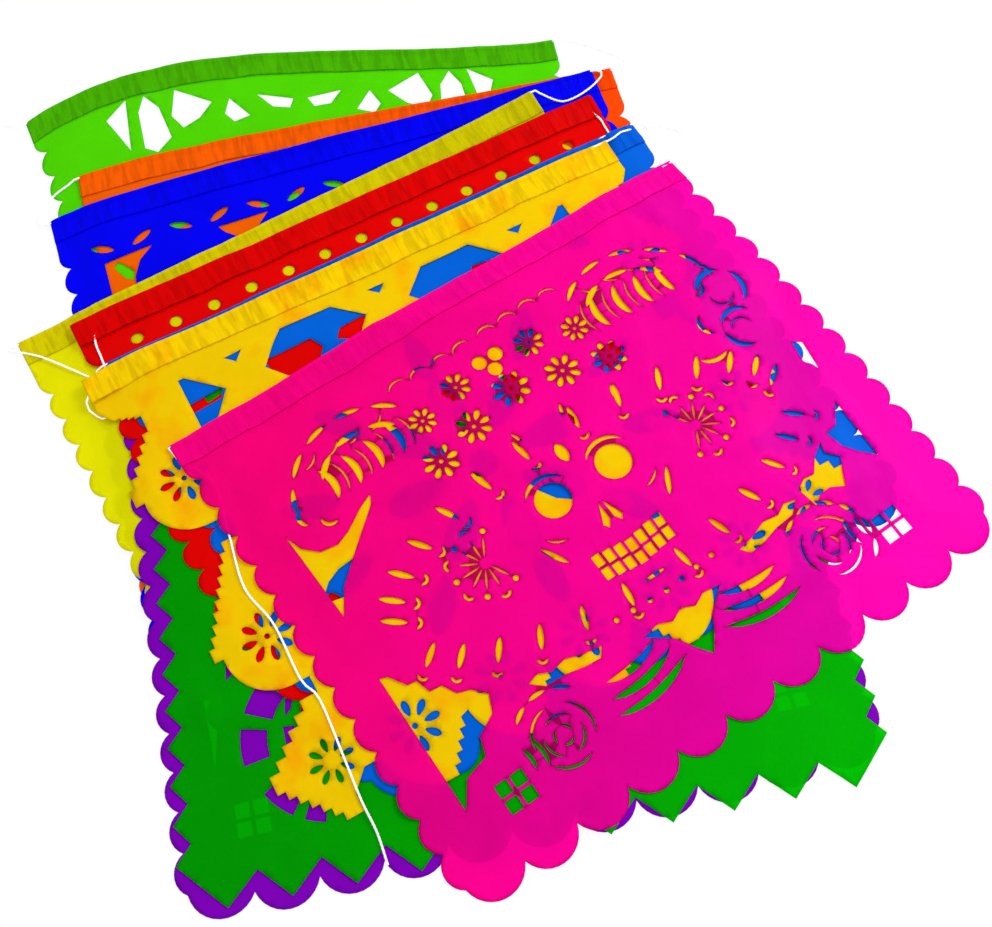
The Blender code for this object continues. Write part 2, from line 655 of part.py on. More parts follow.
def eased(points: list[Vector]) -> list[Vector]:
    """The points, raised where the string would otherwise drop more steeply than it hangs."""
    for line in (points, points[::-1]):
        for before, point in zip(line, line[1:]):
            run = (point - before).to_2d().length
            point.z = max(point.z, before.z - STEEPEST * run)
    return points


def smoothed(points: list[Vector], spacing: float) -> list[Vector]:
    """Points of a smooth curve through the given ones; the first and last only steer it."""
    result = []
    for before, start, end, after in zip(points, points[1:], points[2:], points[3:]):
        steps = max(1, round((end - start).length / spacing))
        for step in range(steps):
            t = step / steps
            pull = (end - before) * t + (2 * before - 5 * start + 4 * end - after) * t * t
            pull += (3 * start - before - 3 * end + after) * t ** 3
            place = start + pull / 2
            place.z = start.z + (end.z - start.z) * t
            result.append(place)
    return result


def string_route(flags: list[Flag]) -> list[Vector]:
    """Every point of the string, from its bare start to the end of its loose tail."""
    route = rested(flags, START)
    for number, flag in enumerate(flags):
        hem = hem_string(flag, number % 2 == 0)
        link = LINKS[number] if number < len(LINKS) else TAIL
        free = [point for stretch in link for point in rested(flags, stretch)]
        route += hem[:-1]
        follow = hem_string(flags[number + 1], number % 2 == 1)[:2] if number < len(LINKS) else []
        ends = follow if follow else [free[-1] * 2 - free[-2]]
        steered = [hem[-1] * 2 - free[0], hem[-1], *free, *ends]
        route += smoothed(steered, LINK_SPACING)
        if not follow:
            route.append(free[-1])
    return eased(route)


def make_material(name: str, colour: tuple[float, float, float], roughness: float) -> bpy.types.Material:
    """A plain finish of one colour."""
    material = bpy.data.materials.new(name)
    material.use_nodes = True
    shader = material.node_tree.nodes["Principled BSDF"]
    shader.inputs["Base Color"].default_value = (*colour, 1.0)
    shader.inputs["Roughness"].default_value = roughness
    material.diffuse_color = (*colour, 1.0)
    return material


def make_collection(name: str) -> bpy.types.Collection:
    """An empty collection in the scene."""
    collection = bpy.data.collections.new(name)
    bpy.context.scene.collection.children.link(collection)
    return collection


def sheet_place(flag: Flag, u: float, v: float) -> Point:
    """Where a point of the sheet lies across and down the flag, also on a flag that is bowed."""
    return bowed_place(flag, u, v) if flag.bowed else (u, v)


def hem_stations(flag: Flag) -> list[float]:
    """How far along the fold its corners stand: two on a straight hem, more on a bowed one."""
    count = BOW_STATIONS if flag.bowed else 1
    return [flag.width * number / count for number in range(count + 1)]


def inside(loop: Loop, place: Point) -> bool:
    """Whether a point lies inside a closed loop."""
    x, y = place
    odd = False
    for (ax, ay), (bx, by) in zip(loop, loop[1:] + loop[:1]):
        if (ay > y) != (by > y) and x < ax + (bx - ax) * (y - ay) / (by - ay):
            odd = not odd
    return odd


def sheet_loops(flag: Flag) -> list[Loop]:
    """The edge of the sheet below the fold and of each of its holes, as they lie over the floor."""
    side, foot = flag.border(flag)
    top = [(u, HEM_RADIUS) for u in reversed(hem_stations(flag)[1:-1])]
    loops = [side + foot + mirrored(side, flag.width)[1:] + top]
    loops += [fitted(cut) for cut in flag.cuts(flag)]
    return [[sheet_place(flag, u, v) for u, v in loop] for loop in loops]


def cut_sheet(flag: Flag) -> bmesh.types.BMesh:
    """The flat cut sheet below the fold, as thick as the film, with an edge where its sag bends."""
    loops = sheet_loops(flag)
    points, edges = [], []
    for loop in loops + ([bend_line(flag)] if len(set(flag.heights)) > 1 else []):
        first, count = len(points), len(loop)
        points += [Vector(place) for place in loop]
        edges += [(first + step, first + (step + 1) % count) for step in range(count)]
    places, _, triangles, *_ = delaunay_2d_cdt(points, edges, [], 1, FILM / 1000)
    sheet = bmesh.new()
    corners = [sheet.verts.new((place.x, -place.y, 0)) for place in places]
    for triangle in triangles:
        middle = sum((places[corner] for corner in triangle), Vector((0, 0))) / 3
        if sum(inside(loop, middle) for loop in loops) == 1:
            sheet.faces.new([corners[corner] for corner in triangle])
    loose = [vert for vert in sheet.verts if not vert.link_faces]
    bmesh.ops.delete(sheet, geom=loose, context="VERTS")
    grown = bmesh.ops.extrude_face_region(sheet, geom=sheet.faces[:])["geom"]
    raised = [item for item in grown if isinstance(item, bmesh.types.BMVert)]
    bmesh.ops.translate(sheet, verts=raised, vec=(0, 0, FILM))
    bmesh.ops.recalc_face_normals(sheet, faces=sheet.faces)
    return sheet


def hem_frames(flag: Flag) -> list[Matrix]:
    """Places of the film's cross-section as it goes round the string and back over the face."""
    arm = HEM_RADIUS - FILM / 2
    lean = 0.0 if flag.open_hem else HEM_SLOPE
    frames = []
    for step in range(HEM_STEPS + 1):
        angle = (math.pi + lean) * step / HEM_STEPS
        y = -HEM_RADIUS + arm * math.sin(angle)
        frames.append(section(y, HEM_RADIUS - arm * math.cos(angle), angle))
    height = FILM + GAP + FILM / 2
    if flag.open_hem:
        height = 2 * HEM_RADIUS - FILM / 2
    else:
        fall = HEM_RADIUS - arm * math.cos(math.pi + lean) - height
        y = -HEM_RADIUS + arm * math.sin(math.pi + lean) - fall / math.tan(lean)
        frames.append(section(y, height, math.pi + lean / 2))
    frames.append(section(-HEM_DEPTH, height, math.pi))
    return frames


def section(y: float, z: float, angle: float) -> Matrix:
    """A place across the film, turned about the fold."""
    return Matrix.Translation((0, y, z)) @ Matrix.Rotation(angle, 4, "X")


def fold_corners(sheet: bmesh.types.BMesh, flag: Flag) -> dict[bmesh.types.BMVert, Vector]:
    """The corners of the sheet's top edge, each with its place on the flat film's cross-section."""
    corners = {}
    for along in hem_stations(flag):
        u, v = sheet_place(flag, along, HEM_RADIUS)
        for vert in sheet.verts:
            if (vert.co.to_2d() - Vector((u, -v))).length < FILM / 10:
                corners[vert] = Vector((along, 0, vert.co.z - FILM / 2))
    return corners


def fold_hem(sheet: bmesh.types.BMesh, flag: Flag) -> None:
    """Carries the sheet's top edge round the string and lays it back on the face."""
    corners = fold_corners(sheet, flag)
    sheet.normal_update()
    ends = [face for face in sheet.faces
            if abs(face.normal.z) < 0.5 and all(vert in corners for vert in face.verts)]
    for frame in hem_frames(flag)[1:]:
        known = {tuple(vert.co): corner for vert, corner in corners.items()}
        grown = bmesh.ops.extrude_face_region(sheet, geom=ends)["geom"]
        bmesh.ops.delete(sheet, geom=[face for face in ends if face.is_valid], context="FACES_ONLY")
        ends = [item for item in grown if isinstance(item, bmesh.types.BMFace)]
        corners = {vert: known[tuple(vert.co)] for face in ends for vert in face.verts}
        for vert, corner in corners.items():
            place = frame @ corner
            u, v = sheet_place(flag, place.x, -place.y)
            vert.co = (u, -v, place.z)


def make_flag(flag: Flag, collection: bpy.types.Collection) -> bpy.types.Object:
    """One flag with its hem, lying in its place in the pile."""
    sheet = cut_sheet(flag)
    fold_hem(sheet, flag)
    for vert in sheet.verts:
        vert.co.z += height_at(flag, turned(flag, vert.co.x, -vert.co.y))
    bmesh.ops.recalc_face_normals(sheet, faces=sheet.faces)
    mesh = bpy.data.meshes.new(flag.name)
    sheet.to_mesh(mesh)
    sheet.free()
    mesh.materials.append(make_material(flag.name.replace("flag", "film"), flag.colour, 0.35))
    piece = bpy.data.objects.new(flag.name, mesh)
    piece.location = (flag.corner[0] - PILE_MIDDLE[0], flag.corner[1] - PILE_MIDDLE[1], 0)
    piece.rotation_euler.z = math.radians(flag.turn)
    collection.objects.link(piece)
    return piece


def make_string(flags: list[Flag], collection: bpy.types.Collection) -> bpy.types.Object:
    """The one length of string that runs through all the hems."""
    curve = bpy.data.curves.new("string", "CURVE")
    curve.dimensions = "3D"
    curve.bevel_depth = STRING / 2
    curve.bevel_resolution = 2
    curve.use_fill_caps = True
    curve.render_resolution_u = 0
    route = string_route(flags)
    spline = curve.splines.new("POLY")
    spline.points.add(len(route) - 1)
    for point, place in zip(spline.points, route):
        point.co = (*place, 1)
    curve.materials.append(make_material("string_cotton", (0.9, 0.9, 0.88), 0.8))
    piece = bpy.data.objects.new("string", curve)
    piece.location = (-PILE_MIDDLE[0], -PILE_MIDDLE[1], 0)
    collection.objects.link(piece)
    return piece


def main() -> None:
    """Clears the scene and builds the banner."""
    for item in list(bpy.data.objects):
        bpy.data.objects.remove(item)
    stack_flags(FLAGS)
    collection = make_collection("papel_picado_banner")
    for flag in FLAGS:
        make_flag(flag, collection)
    make_string(FLAGS, collection)


main()
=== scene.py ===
import logging
import math
from dataclasses import dataclass, field
from enum import Enum

import bpy
import numpy as np
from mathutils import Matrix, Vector
from mathutils.geometry import delaunay_2d_cdt
from mathutils.kdtree import KDTree


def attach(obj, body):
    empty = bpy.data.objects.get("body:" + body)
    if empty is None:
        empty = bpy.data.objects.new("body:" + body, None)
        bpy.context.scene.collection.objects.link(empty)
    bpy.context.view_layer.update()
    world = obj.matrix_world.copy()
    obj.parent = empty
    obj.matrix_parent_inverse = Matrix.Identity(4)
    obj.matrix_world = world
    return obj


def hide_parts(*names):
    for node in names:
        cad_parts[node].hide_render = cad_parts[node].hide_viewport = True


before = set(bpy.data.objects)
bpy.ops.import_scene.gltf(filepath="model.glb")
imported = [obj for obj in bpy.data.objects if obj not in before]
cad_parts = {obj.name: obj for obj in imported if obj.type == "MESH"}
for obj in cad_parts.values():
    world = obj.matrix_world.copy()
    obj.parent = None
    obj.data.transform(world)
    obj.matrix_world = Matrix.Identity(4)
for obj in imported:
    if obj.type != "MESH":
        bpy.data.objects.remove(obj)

Point = tuple[float, float]
Loop = list[Point]
Colour = tuple[float, float, float]
Tree = bpy.types.NodeTree
Socket = bpy.types.NodeSocket

FILM = 0.00012
STRING = 0.0015
HEM_DEPTH = 0.019
FLAG_HEIGHT = 0.358
FOLD_RADIUS = STRING / 2 + 0.0005
PILE_MIDDLE = (-0.0080, 0.0043)
MOON_INSIDE = 0.52
PETAL_POINTS = 12
WHITE = (1, 1, 1, 1)
log = logging.getLogger("banner")


class Hem(Enum):
    """How a flag's hem lies: pressed flat on the face, standing open, or slid into a bow."""
    PRESSED = "pressed"
    OPEN = "open"
    BOWED = "bowed"


class Border(Enum):
    """The edge that a flag is cut with."""
    SCALLOPED = "scalloped"
    LOBED = "lobed"
    TOOTHED = "toothed"
    FANNED = "fanned"


def mm(*points: Point) -> Loop:
    """A loop from its points in millimetres."""
    return [(u / 1000, v / 1000) for u, v in points]


def polar(u: float, v: float, radius: float, degrees: float) -> Point:
    """The point at that distance and angle from u, v."""
    turn = math.radians(degrees)
    return u + radius * math.cos(turn), v + radius * math.sin(turn)


def arc(u: float, v: float, radius: float, start: float, end: float, steps: int) -> Loop:
    """Points along an arc.

    Args:
        u, v: The arc's centre.
        radius: Its radius.
        start, end: Its first and last angles in degrees, where 90 points down the flag.
        steps: How many chords it has.

    Returns:
        The points, with both ends.
    """
    return [polar(u, v, radius, start + (end - start) * step / steps) for step in range(steps + 1)]


def bulge(start: Point, end: Point, depth: float, steps: int) -> Loop:
    """The round edge from start to end that stands depth off their chord.

    Args:
        start, end: The chord's ends.
        depth: How far the edge stands off, at most half the chord.
        steps: How many chords the edge has.

    Returns:
        The points after start, with end.
    """
    first, last = Vector(start), Vector(end)
    half = (last - first).length / 2
    depth = min(depth, half)
    radius = (half * half + depth * depth) / (2 * depth)
    out = Vector((first.y - last.y, last.x - first.x)).normalized()
    centre = (first + last) / 2 + out * (depth - radius)
    sweep = 2 * math.asin(min(1.0, half / radius))
    if depth > radius:
        sweep = 2 * math.pi - sweep
    arm = first - centre
    points = []
    for step in range(1, steps):
        turn = -sweep * step / steps
        cosine, sine = math.cos(turn), math.sin(turn)
        points.append((centre.x + cosine * arm.x - sine * arm.y,
                       centre.y + sine * arm.x + cosine * arm.y))
    return points + [tuple(last)]


def stair(start: Point, end: Point, steps: int, down_first: bool) -> Loop:
    """Corners of a flight of square steps.

    Args:
        start, end: The flight's ends.
        steps: How many steps it has.
        down_first: Whether each step goes down the flag before it goes across.

    Returns:
        The corners, with both ends.
    """
    (u, v), (end_u, end_v) = start, end
    run, rise = (end_u - u) / steps, (end_v - v) / steps
    points = [start]
    for _ in range(steps):
        points.append((u, v + rise) if down_first else (u + run, v))
        u, v = u + run, v + rise
        points.append((u, v))
    return points


def mirrored(loop: Loop, width: float) -> Loop:
    """The same loop on the other side of a flag of that width."""
    return [(width - u, v) for u, v in reversed(loop)]


def petal(u: float, v: float, length: float, breadth: float, angle: float,
          fullness: float = 0.0) -> Loop:
    """A slit with two points and round sides.

    Args:
        u, v: Its middle.
        length, breadth: Its size.
        angle: Where its length points, in degrees.
        fullness: How far its widest place lies towards its far end, from 0 to 1.

    Returns:
        The slit's edge.
    """
    turn = math.radians(angle)
    along = (math.cos(turn), math.sin(turn))
    points = []
    for number in range(PETAL_POINTS):
        angle_on = 2 * math.pi * number / PETAL_POINTS
        a = -0.5 * math.cos(angle_on)
        b = 0.5 * math.sin(angle_on) * abs(math.sin(angle_on)) ** 0.35
        a += fullness * 0.22 * (1 - 4 * a * a)
        points.append((u + length * a * along[0] - breadth * b * along[1],
                       v + length * a * along[1] + breadth * b * along[0]))
    return points


def disc(u: float, v: float, radius: float, sides: int = 18) -> Loop:
    """A round hole of that radius about u, v."""
    return arc(u, v, radius, 0, 360, sides)[:-1]


def crescent(u: float, v: float, radius: float, angle: float) -> Loop:
    """A thin moon on a circle of that radius about u, v, which opens at that angle."""
    outer = arc(u, v, radius, angle + 95, angle + 265, 8)
    return outer + [(u + (x - u) * MOON_INSIDE, v + (y - v) * MOON_INSIDE) for x, y in outer[-2:0:-1]]


def curved_slit(u: float, v: float, radius: float, start: float, end: float, breadth: float) -> Loop:
    """A slit that follows an arc and tapers to both ends.

    Args:
        u, v: The arc's centre.
        radius: The arc's radius.
        start, end: Its first and last angles in degrees.
        breadth: Its width in the middle.

    Returns:
        The slit's edge.
    """
    steps = 7
    outer, inner = [], []
    for step in range(steps + 1):
        share = step / steps
        half = breadth / 2 * math.sin(math.pi * share) ** 0.6
        outer.append(polar(u, v, radius + half, start + (end - start) * share))
        inner.append(polar(u, v, radius - half, start + (end - start) * share))
    return outer + inner[-2:0:-1]


def curved_slits(u: float, v: float, radius: float, starts: tuple[int, ...], sweep: float,
                 breadth: float) -> list[Loop]:
    """Slits along one circle, each from one of the starts over the same sweep in degrees."""
    return [curved_slit(u, v, radius, start, start + sweep, breadth) for start in starts]


def daisy(u: float, v: float, petals: int, reach: float, breadth: float, eye: float,
          turn: float = 0) -> list[Loop]:
    """A ring of petals about a small round eye.

    Args:
        u, v: Its middle.
        petals: How many it has.
        reach: How far they reach.
        breadth: Their width.
        eye: The eye's radius, or 0 for none.
        turn: Where the first petal points, in degrees.

    Returns:
        A loop for each hole.
    """
    loops = []
    for number in range(petals):
        angle = turn + 360 * number / petals
        loops.append(petal(*polar(u, v, reach * 0.66, angle), reach * 0.60, breadth, angle, 0.5))
    return loops + ([disc(u, v, eye, 10)] if eye else [])


def upright_petals(u: float, rows: tuple[float, ...], length: float, breadth: float) -> list[Loop]:
    """Petals one above another, whose middles lie at u and at each row."""
    return [petal(u, v, length, breadth, 90) for v in rows]


def box(left: float, top: float, right: float, bottom: float) -> Loop:
    """A square cornered window."""
    return [(left, top), (right, top), (right, bottom), (left, bottom)]


def panes(u: float, v: float, pane: float, bar: float) -> list[Loop]:
    """Four small square windows, two by two from the corner u, v, with bars between them."""
    loops = []
    for column in (0, 1):
        for row in (0, 1):
            left, top = u + column * (pane + bar), v + row * (pane + bar)
            loops.append(box(left, top, left + pane, top + pane))
    return loops


def ring_window(u: float, v: float, start: float, end: float, inner: float, outer: float) -> Loop:
    """A window between two rings about u, v, from one angle to another in degrees."""
    return arc(u, v, outer, start, end, 6) + arc(u, v, inner, end, start, 6)


def both_sides(loops: list[Loop], width: float) -> list[Loop]:
    """The loops of the left half, and their mirror images."""
    return loops + [mirrored(loop, width) for loop in loops]


def ripple(x: np.ndarray, y: np.ndarray, wavelength: float, seed: int,
           stretch: float = 1.0) -> np.ndarray:
    """Smooth waves that never quite repeat.

    Args:
        x, y: Where they are wanted.
        wavelength: The middle one of their lengths along x.
        seed: Which waves they are.
        stretch: How many times longer they are along y.

    Returns:
        Heights from about -1 to 1.
    """
    rng = np.random.default_rng(seed)
    total = np.zeros_like(x)
    for _ in range(7):
        angle = rng.uniform(0, 2 * math.pi)
        wave = wavelength * rng.uniform(0.6, 1.7)
        phase = rng.uniform(0, 2 * math.pi)
        across = x * math.cos(angle) + y * math.sin(angle) / stretch
        total += np.sin(2 * math.pi * across / wave + phase)
    return total / 3.2


def swell(x: np.ndarray, y: np.ndarray, wavelength: float, seed: int,
          stretch: float = 1.0) -> np.ndarray:
    """The waves of ripple(), raised so that none dips under 0."""
    return np.clip(ripple(x, y, wavelength, seed, stretch) * 0.5 + 0.5, 0, 1.2)


@dataclass
class Pile:
    """The top of the pile while it is laid, as heights on a square grid over the floor.

    Film that is laid on it keeps some air under it, falls off no steeper than the slope, and is then
    pulled taut, which the sag works against.
    """
    cell: float = 0.0015
    low: Point = (-0.42, -0.40)
    high: Point = (0.42, 0.40)
    air: float = 0.00043
    slope: float = 0.16
    sag: float = 0.000012
    slope_rounds: int = 22
    taut_rounds: int = 60
    top: np.ndarray = field(init=False)
    x: np.ndarray = field(init=False)
    y: np.ndarray = field(init=False)

    def __post_init__(self) -> None:
        """Starts with the bare floor."""
        across = np.arange(self.low[0], self.high[0], self.cell)
        along = np.arange(self.low[1], self.high[1], self.cell)
        self.x, self.y = np.meshgrid(across, along, indexing="ij")
        self.top = np.zeros_like(self.x)

    def drape(self) -> np.ndarray:
        """Heights of the underside of a film that is laid over the pile."""
        rest = self.top + self.air
        film = rest.copy()
        diagonal = self.cell * math.sqrt(2)
        for _ in range(self.slope_rounds):
            grown = film.copy()
            for shift in ((1, 0), (-1, 0), (0, 1), (0, -1), (1, 1), (-1, 1), (1, -1), (-1, -1)):
                fall = self.slope * (diagonal if all(shift) else self.cell)
                grown = np.maximum(grown, np.roll(film, shift, (0, 1)) - fall)
            film = grown
        for _ in range(self.taut_rounds):
            film = np.maximum(self.blurred(film) - self.sag, rest)
        return film

    @staticmethod
    def blurred(heights: np.ndarray) -> np.ndarray:
        """The heights with each one drawn towards its neighbours."""
        for axis in (0, 1):
            heights = (np.roll(heights, 1, axis) + np.roll(heights, -1, axis) + 2 * heights) / 4
        return heights

    def sample(self, heights: np.ndarray, x: np.ndarray, y: np.ndarray) -> np.ndarray:
        """The heights between the grid's own points, at x, y."""
        column = np.clip((np.asarray(x) - self.low[0]) / self.cell, 0, heights.shape[0] - 2.001)
        row = np.clip((np.asarray(y) - self.low[1]) / self.cell, 0, heights.shape[1] - 2.001)
        i, j = column.astype(int), row.astype(int)
        s, t = column - i, row - j
        near = heights[i, j] * (1 - s) + heights[i + 1, j] * s
        far = heights[i, j + 1] * (1 - s) + heights[i + 1, j + 1] * s
        return near * (1 - t) + far * t

    def raise_along(self, points: np.ndarray, reach: float) -> None:
        """Lifts the top over a run of string.

        Args:
            points: The middle of the string, close together.
            reach: How far from it the top rises.
        """
        spread = int(math.ceil(reach / self.cell))
        for x, y, z in points:
            i = int(round((x - self.low[0]) / self.cell))
            j = int(round((y - self.low[1]) / self.cell))
            patch = (slice(i - spread, i + spread + 1), slice(j - spread, j + spread + 1))
            close = np.hypot(self.x[patch] - x, self.y[patch] - y) < reach
            risen = np.maximum(self.top[patch], z + STRING / 2)
            self.top[patch] = np.where(close, risen, self.top[patch])


def placed(name: str, data: bpy.types.ID) -> bpy.types.Object:
    """A new object of that data, in the scene."""
    made = bpy.data.objects.new(name, data)
    bpy.context.scene.collection.objects.link(made)
    return made


def rgba(colour: Colour) -> tuple[float, float, float, float]:
    """The colour, as a node takes it."""
    return (*colour, 1)


def wire(tree: Tree, node: bpy.types.Node, wires: dict) -> None:
    """Sets a node's inputs, each by its name or number, to a value or to the socket that feeds it."""
    for name, value in wires.items():
        if isinstance(value, Socket):
            tree.links.new(value, node.inputs[name])
        else:
            node.inputs[name].default_value = value


def wired(tree: Tree, kind: str, wires: dict | None = None, **settings: str) -> bpy.types.Node:
    """A new node of a tree.

    Args:
        tree: The node tree.
        kind: The node's type.
        wires: Its inputs, as wire() takes them.
        settings: Its own properties.

    Returns:
        The node.
    """
    node = tree.nodes.new(kind)
    for name, value in settings.items():
        setattr(node, name, value)
    wire(tree, node, wires or {})
    return node


def maths(tree: Tree, operation: str, first: Socket, second: Socket | float = 0.0) -> Socket:
    """The result of one sum."""
    return wired(tree, "ShaderNodeMath", {0: first, 1: second}, operation=operation).outputs["Value"]


def times(tree: Tree, first: Socket, second: Socket | float) -> Socket:
    """The product of two values."""
    return maths(tree, "MULTIPLY", first, second)


def ranged(tree: Tree, value: Socket, start: float, end: float, low: float = 0.0,
           high: float = 1.0) -> Socket:
    """A value from start to end, stretched to run from low to high."""
    wires = {"Value": value, "From Min": start, "From Max": end, "To Min": low, "To Max": high}
    return wired(tree, "ShaderNodeMapRange", wires).outputs["Result"]


def mixed(tree: Tree, share: Socket | float, first: Socket | tuple, second: Socket | tuple,
          blend: str = "MIX") -> Socket:
    """The second colour laid over the first by a share."""
    wires = {"Fac": share, "Color1": first, "Color2": second}
    return wired(tree, "ShaderNodeMixRGB", wires, blend_type=blend).outputs["Color"]


def shaders(tree: Tree, share: Socket | float, first: Socket, second: Socket) -> Socket:
    """The second shader mixed with the first by a share."""
    return wired(tree, "ShaderNodeMixShader", {"Fac": share, 1: first, 2: second}).outputs["Shader"]


def noise(tree: Tree, place: Socket, scale: float, detail: float, distortion: float = 0.0) -> Socket:
    """Cloudy noise from 0 to 1."""
    wires = {"Vector": place, "Scale": scale, "Detail": detail, "Distortion": distortion}
    return wired(tree, "ShaderNodeTexNoise", wires).outputs["Fac"]


def attribute(tree: Tree, name: str) -> Socket:
    """What the mesh says at each point under that name."""
    return wired(tree, "ShaderNodeAttribute", attribute_name=name).outputs["Fac"]


def empty_material(name: str) -> bpy.types.Material:
    """A new material without nodes."""
    material = bpy.data.materials.new(name)
    material.use_nodes = True
    material.node_tree.nodes.clear()
    return material


@dataclass(frozen=True)
class FilmFinish:
    """Thin coloured film: the light that it throws back, and the light that it lets through.

    Each tone says which stretch of its noise is drawn out, and how dark and how light it makes the film.
    """
    slot: str
    single: Colour
    doubled: Colour
    far: Colour | None = None
    tint: Colour | None = None
    blotch: Colour | None = None
    through: float = 0.18
    roughness: float = 0.45
    sheen: float = 0.03
    # How strongly the hem's wrinkles are painted with shade and highlight.
    wrinkle_shading: float = 0.7
    # How dark the painted contact shadow beside every cut edge is.
    rim: float = 0.28

    glowing = 0.22
    drift = (-0.12, 0.30)
    cloud_scale = 34.0
    cloud_depth = 0.22
    cloud_tone = (0.3, 0.7, 0.7, 1.1)
    blotches = (0.50, 0.72)
    wrinkle_scale = 230.0
    wrinkle_stretch = 0.16
    wrinkle_height = 0.0012
    # How dark and how light the painted shade and highlight of the hem's wrinkles are.
    wrinkle_shade_tone = (0.38, 0.56, 0.74, 1.06)
    # The painted contact shadow beside every cut edge: its colour and how quickly it fades.
    rim_shadow_colour = (0.30, 0.22, 0.22)
    rim_shadow_power = 5.0
    crease_scale = 160.0
    crease_height = 0.0006
    crease_strength = 0.35

    def material(self) -> bpy.types.Material:
        """The film's material, more solid in colour where the hem doubles it, and darker and lighter along
        the hem's wrinkles as painted shade and highlight.
        """
        material = empty_material(self.slot)
        tree = material.node_tree
        folded = attribute(tree, "folded")
        place = wired(tree, "ShaderNodeTexCoord").outputs["Object"]
        cloud = noise(tree, place, self.cloud_scale, 3.0)
        colour = mixed(tree, folded, rgba(self.single), rgba(self.doubled))
        if self.far:
            across = wired(tree, "ShaderNodeSeparateXYZ", {"Vector": place}).outputs["X"]
            colour = mixed(tree, ranged(tree, across, *self.drift), colour, rgba(self.far))
        if self.blotch:
            colour = mixed(tree, ranged(tree, cloud, *self.blotches), colour, rgba(self.blotch))
        shade = mixed(tree, self.cloud_depth, colour, ranged(tree, cloud, *self.cloud_tone), "MULTIPLY")
        wrinkle = self.wrinkles(tree)
        # The hem's colour goes darker and lighter with its wrinkles: painted shade and highlight.
        inside = times(tree, folded, self.wrinkle_shading)
        wrinkle_shaded = mixed(tree, inside, shade, ranged(tree, wrinkle, *self.wrinkle_shade_tone), "MULTIPLY")
        surface = wired(tree, "ShaderNodeBsdfPrincipled", {
            "Roughness": self.roughness, "Specular IOR Level": self.sheen,
            "Base Color": self.rim_shadowed(tree, wrinkle_shaded), "Normal": self.creases(tree, place, wrinkle, folded)})
        full = self.film(tree, surface, shade, rgba(self.tint) if self.tint else colour)
        # Light that has already bounced meets a film in one even colour, which is quicker to work out.
        even = wired(tree, "ShaderNodeBsdfDiffuse", {"Color": rgba(self.single)})
        plain = self.film(tree, even, rgba(self.single), rgba(self.tint or self.single))
        camera = wired(tree, "ShaderNodeLightPath").outputs["Is Camera Ray"]
        wired(tree, "ShaderNodeOutputMaterial", {"Surface": shaders(tree, camera, plain, full)})
        return material

    def film(self, tree: Tree, surface: bpy.types.Node, glow: Socket | tuple,
             clear: Socket | tuple) -> Socket:
        """A film's shader.

        Args:
            tree: The node tree.
            surface: The node of its surface.
            glow: The colour of the light that comes through it scattered.
            clear: The colour of what is seen through it.

        Returns:
            The shader.
        """
        scattered = wired(tree, "ShaderNodeBsdfTranslucent", {"Color": glow}).outputs["BSDF"]
        solid = shaders(tree, self.glowing, surface.outputs["BSDF"], scattered)
        return shaders(tree, self.through, solid,
                       wired(tree, "ShaderNodeBsdfTransparent", {"Color": clear}).outputs["BSDF"])

    def rim_shadowed(self, tree: Tree, colour: Socket) -> Socket:
        """The colour, darker in a thin line beside every cut edge: a painted contact shadow."""
        close = maths(tree, "POWER", attribute(tree, "rim"), self.rim_shadow_power)
        return mixed(tree, times(tree, close, self.rim), colour, rgba(self.rim_shadow_colour), "MULTIPLY")

    def wrinkles(self, tree: Tree) -> Socket:
        """The fine wrinkles that run across a hem, from 0 to 1."""
        down = times(tree, attribute(tree, "down"), self.wrinkle_stretch)
        join = wired(tree, "ShaderNodeCombineXYZ", {"X": attribute(tree, "along"), "Y": down})
        return noise(tree, join.outputs["Vector"], self.wrinkle_scale, 3.0, 0.4)

    def creases(self, tree: Tree, place: Socket, wrinkle: Socket, folded: Socket) -> Socket:
        """Fine creases of handled film, and the hem's wrinkles, as a bumped normal."""
        fine = wired(tree, "ShaderNodeBump", {
            "Strength": self.crease_strength, "Distance": self.crease_height,
            "Height": noise(tree, place, self.crease_scale, 4.0, 0.6)})
        across = wired(tree, "ShaderNodeBump", {
            "Strength": folded, "Distance": self.wrinkle_height, "Height": wrinkle,
            "Normal": fine.outputs["Normal"]})
        return across.outputs["Normal"]


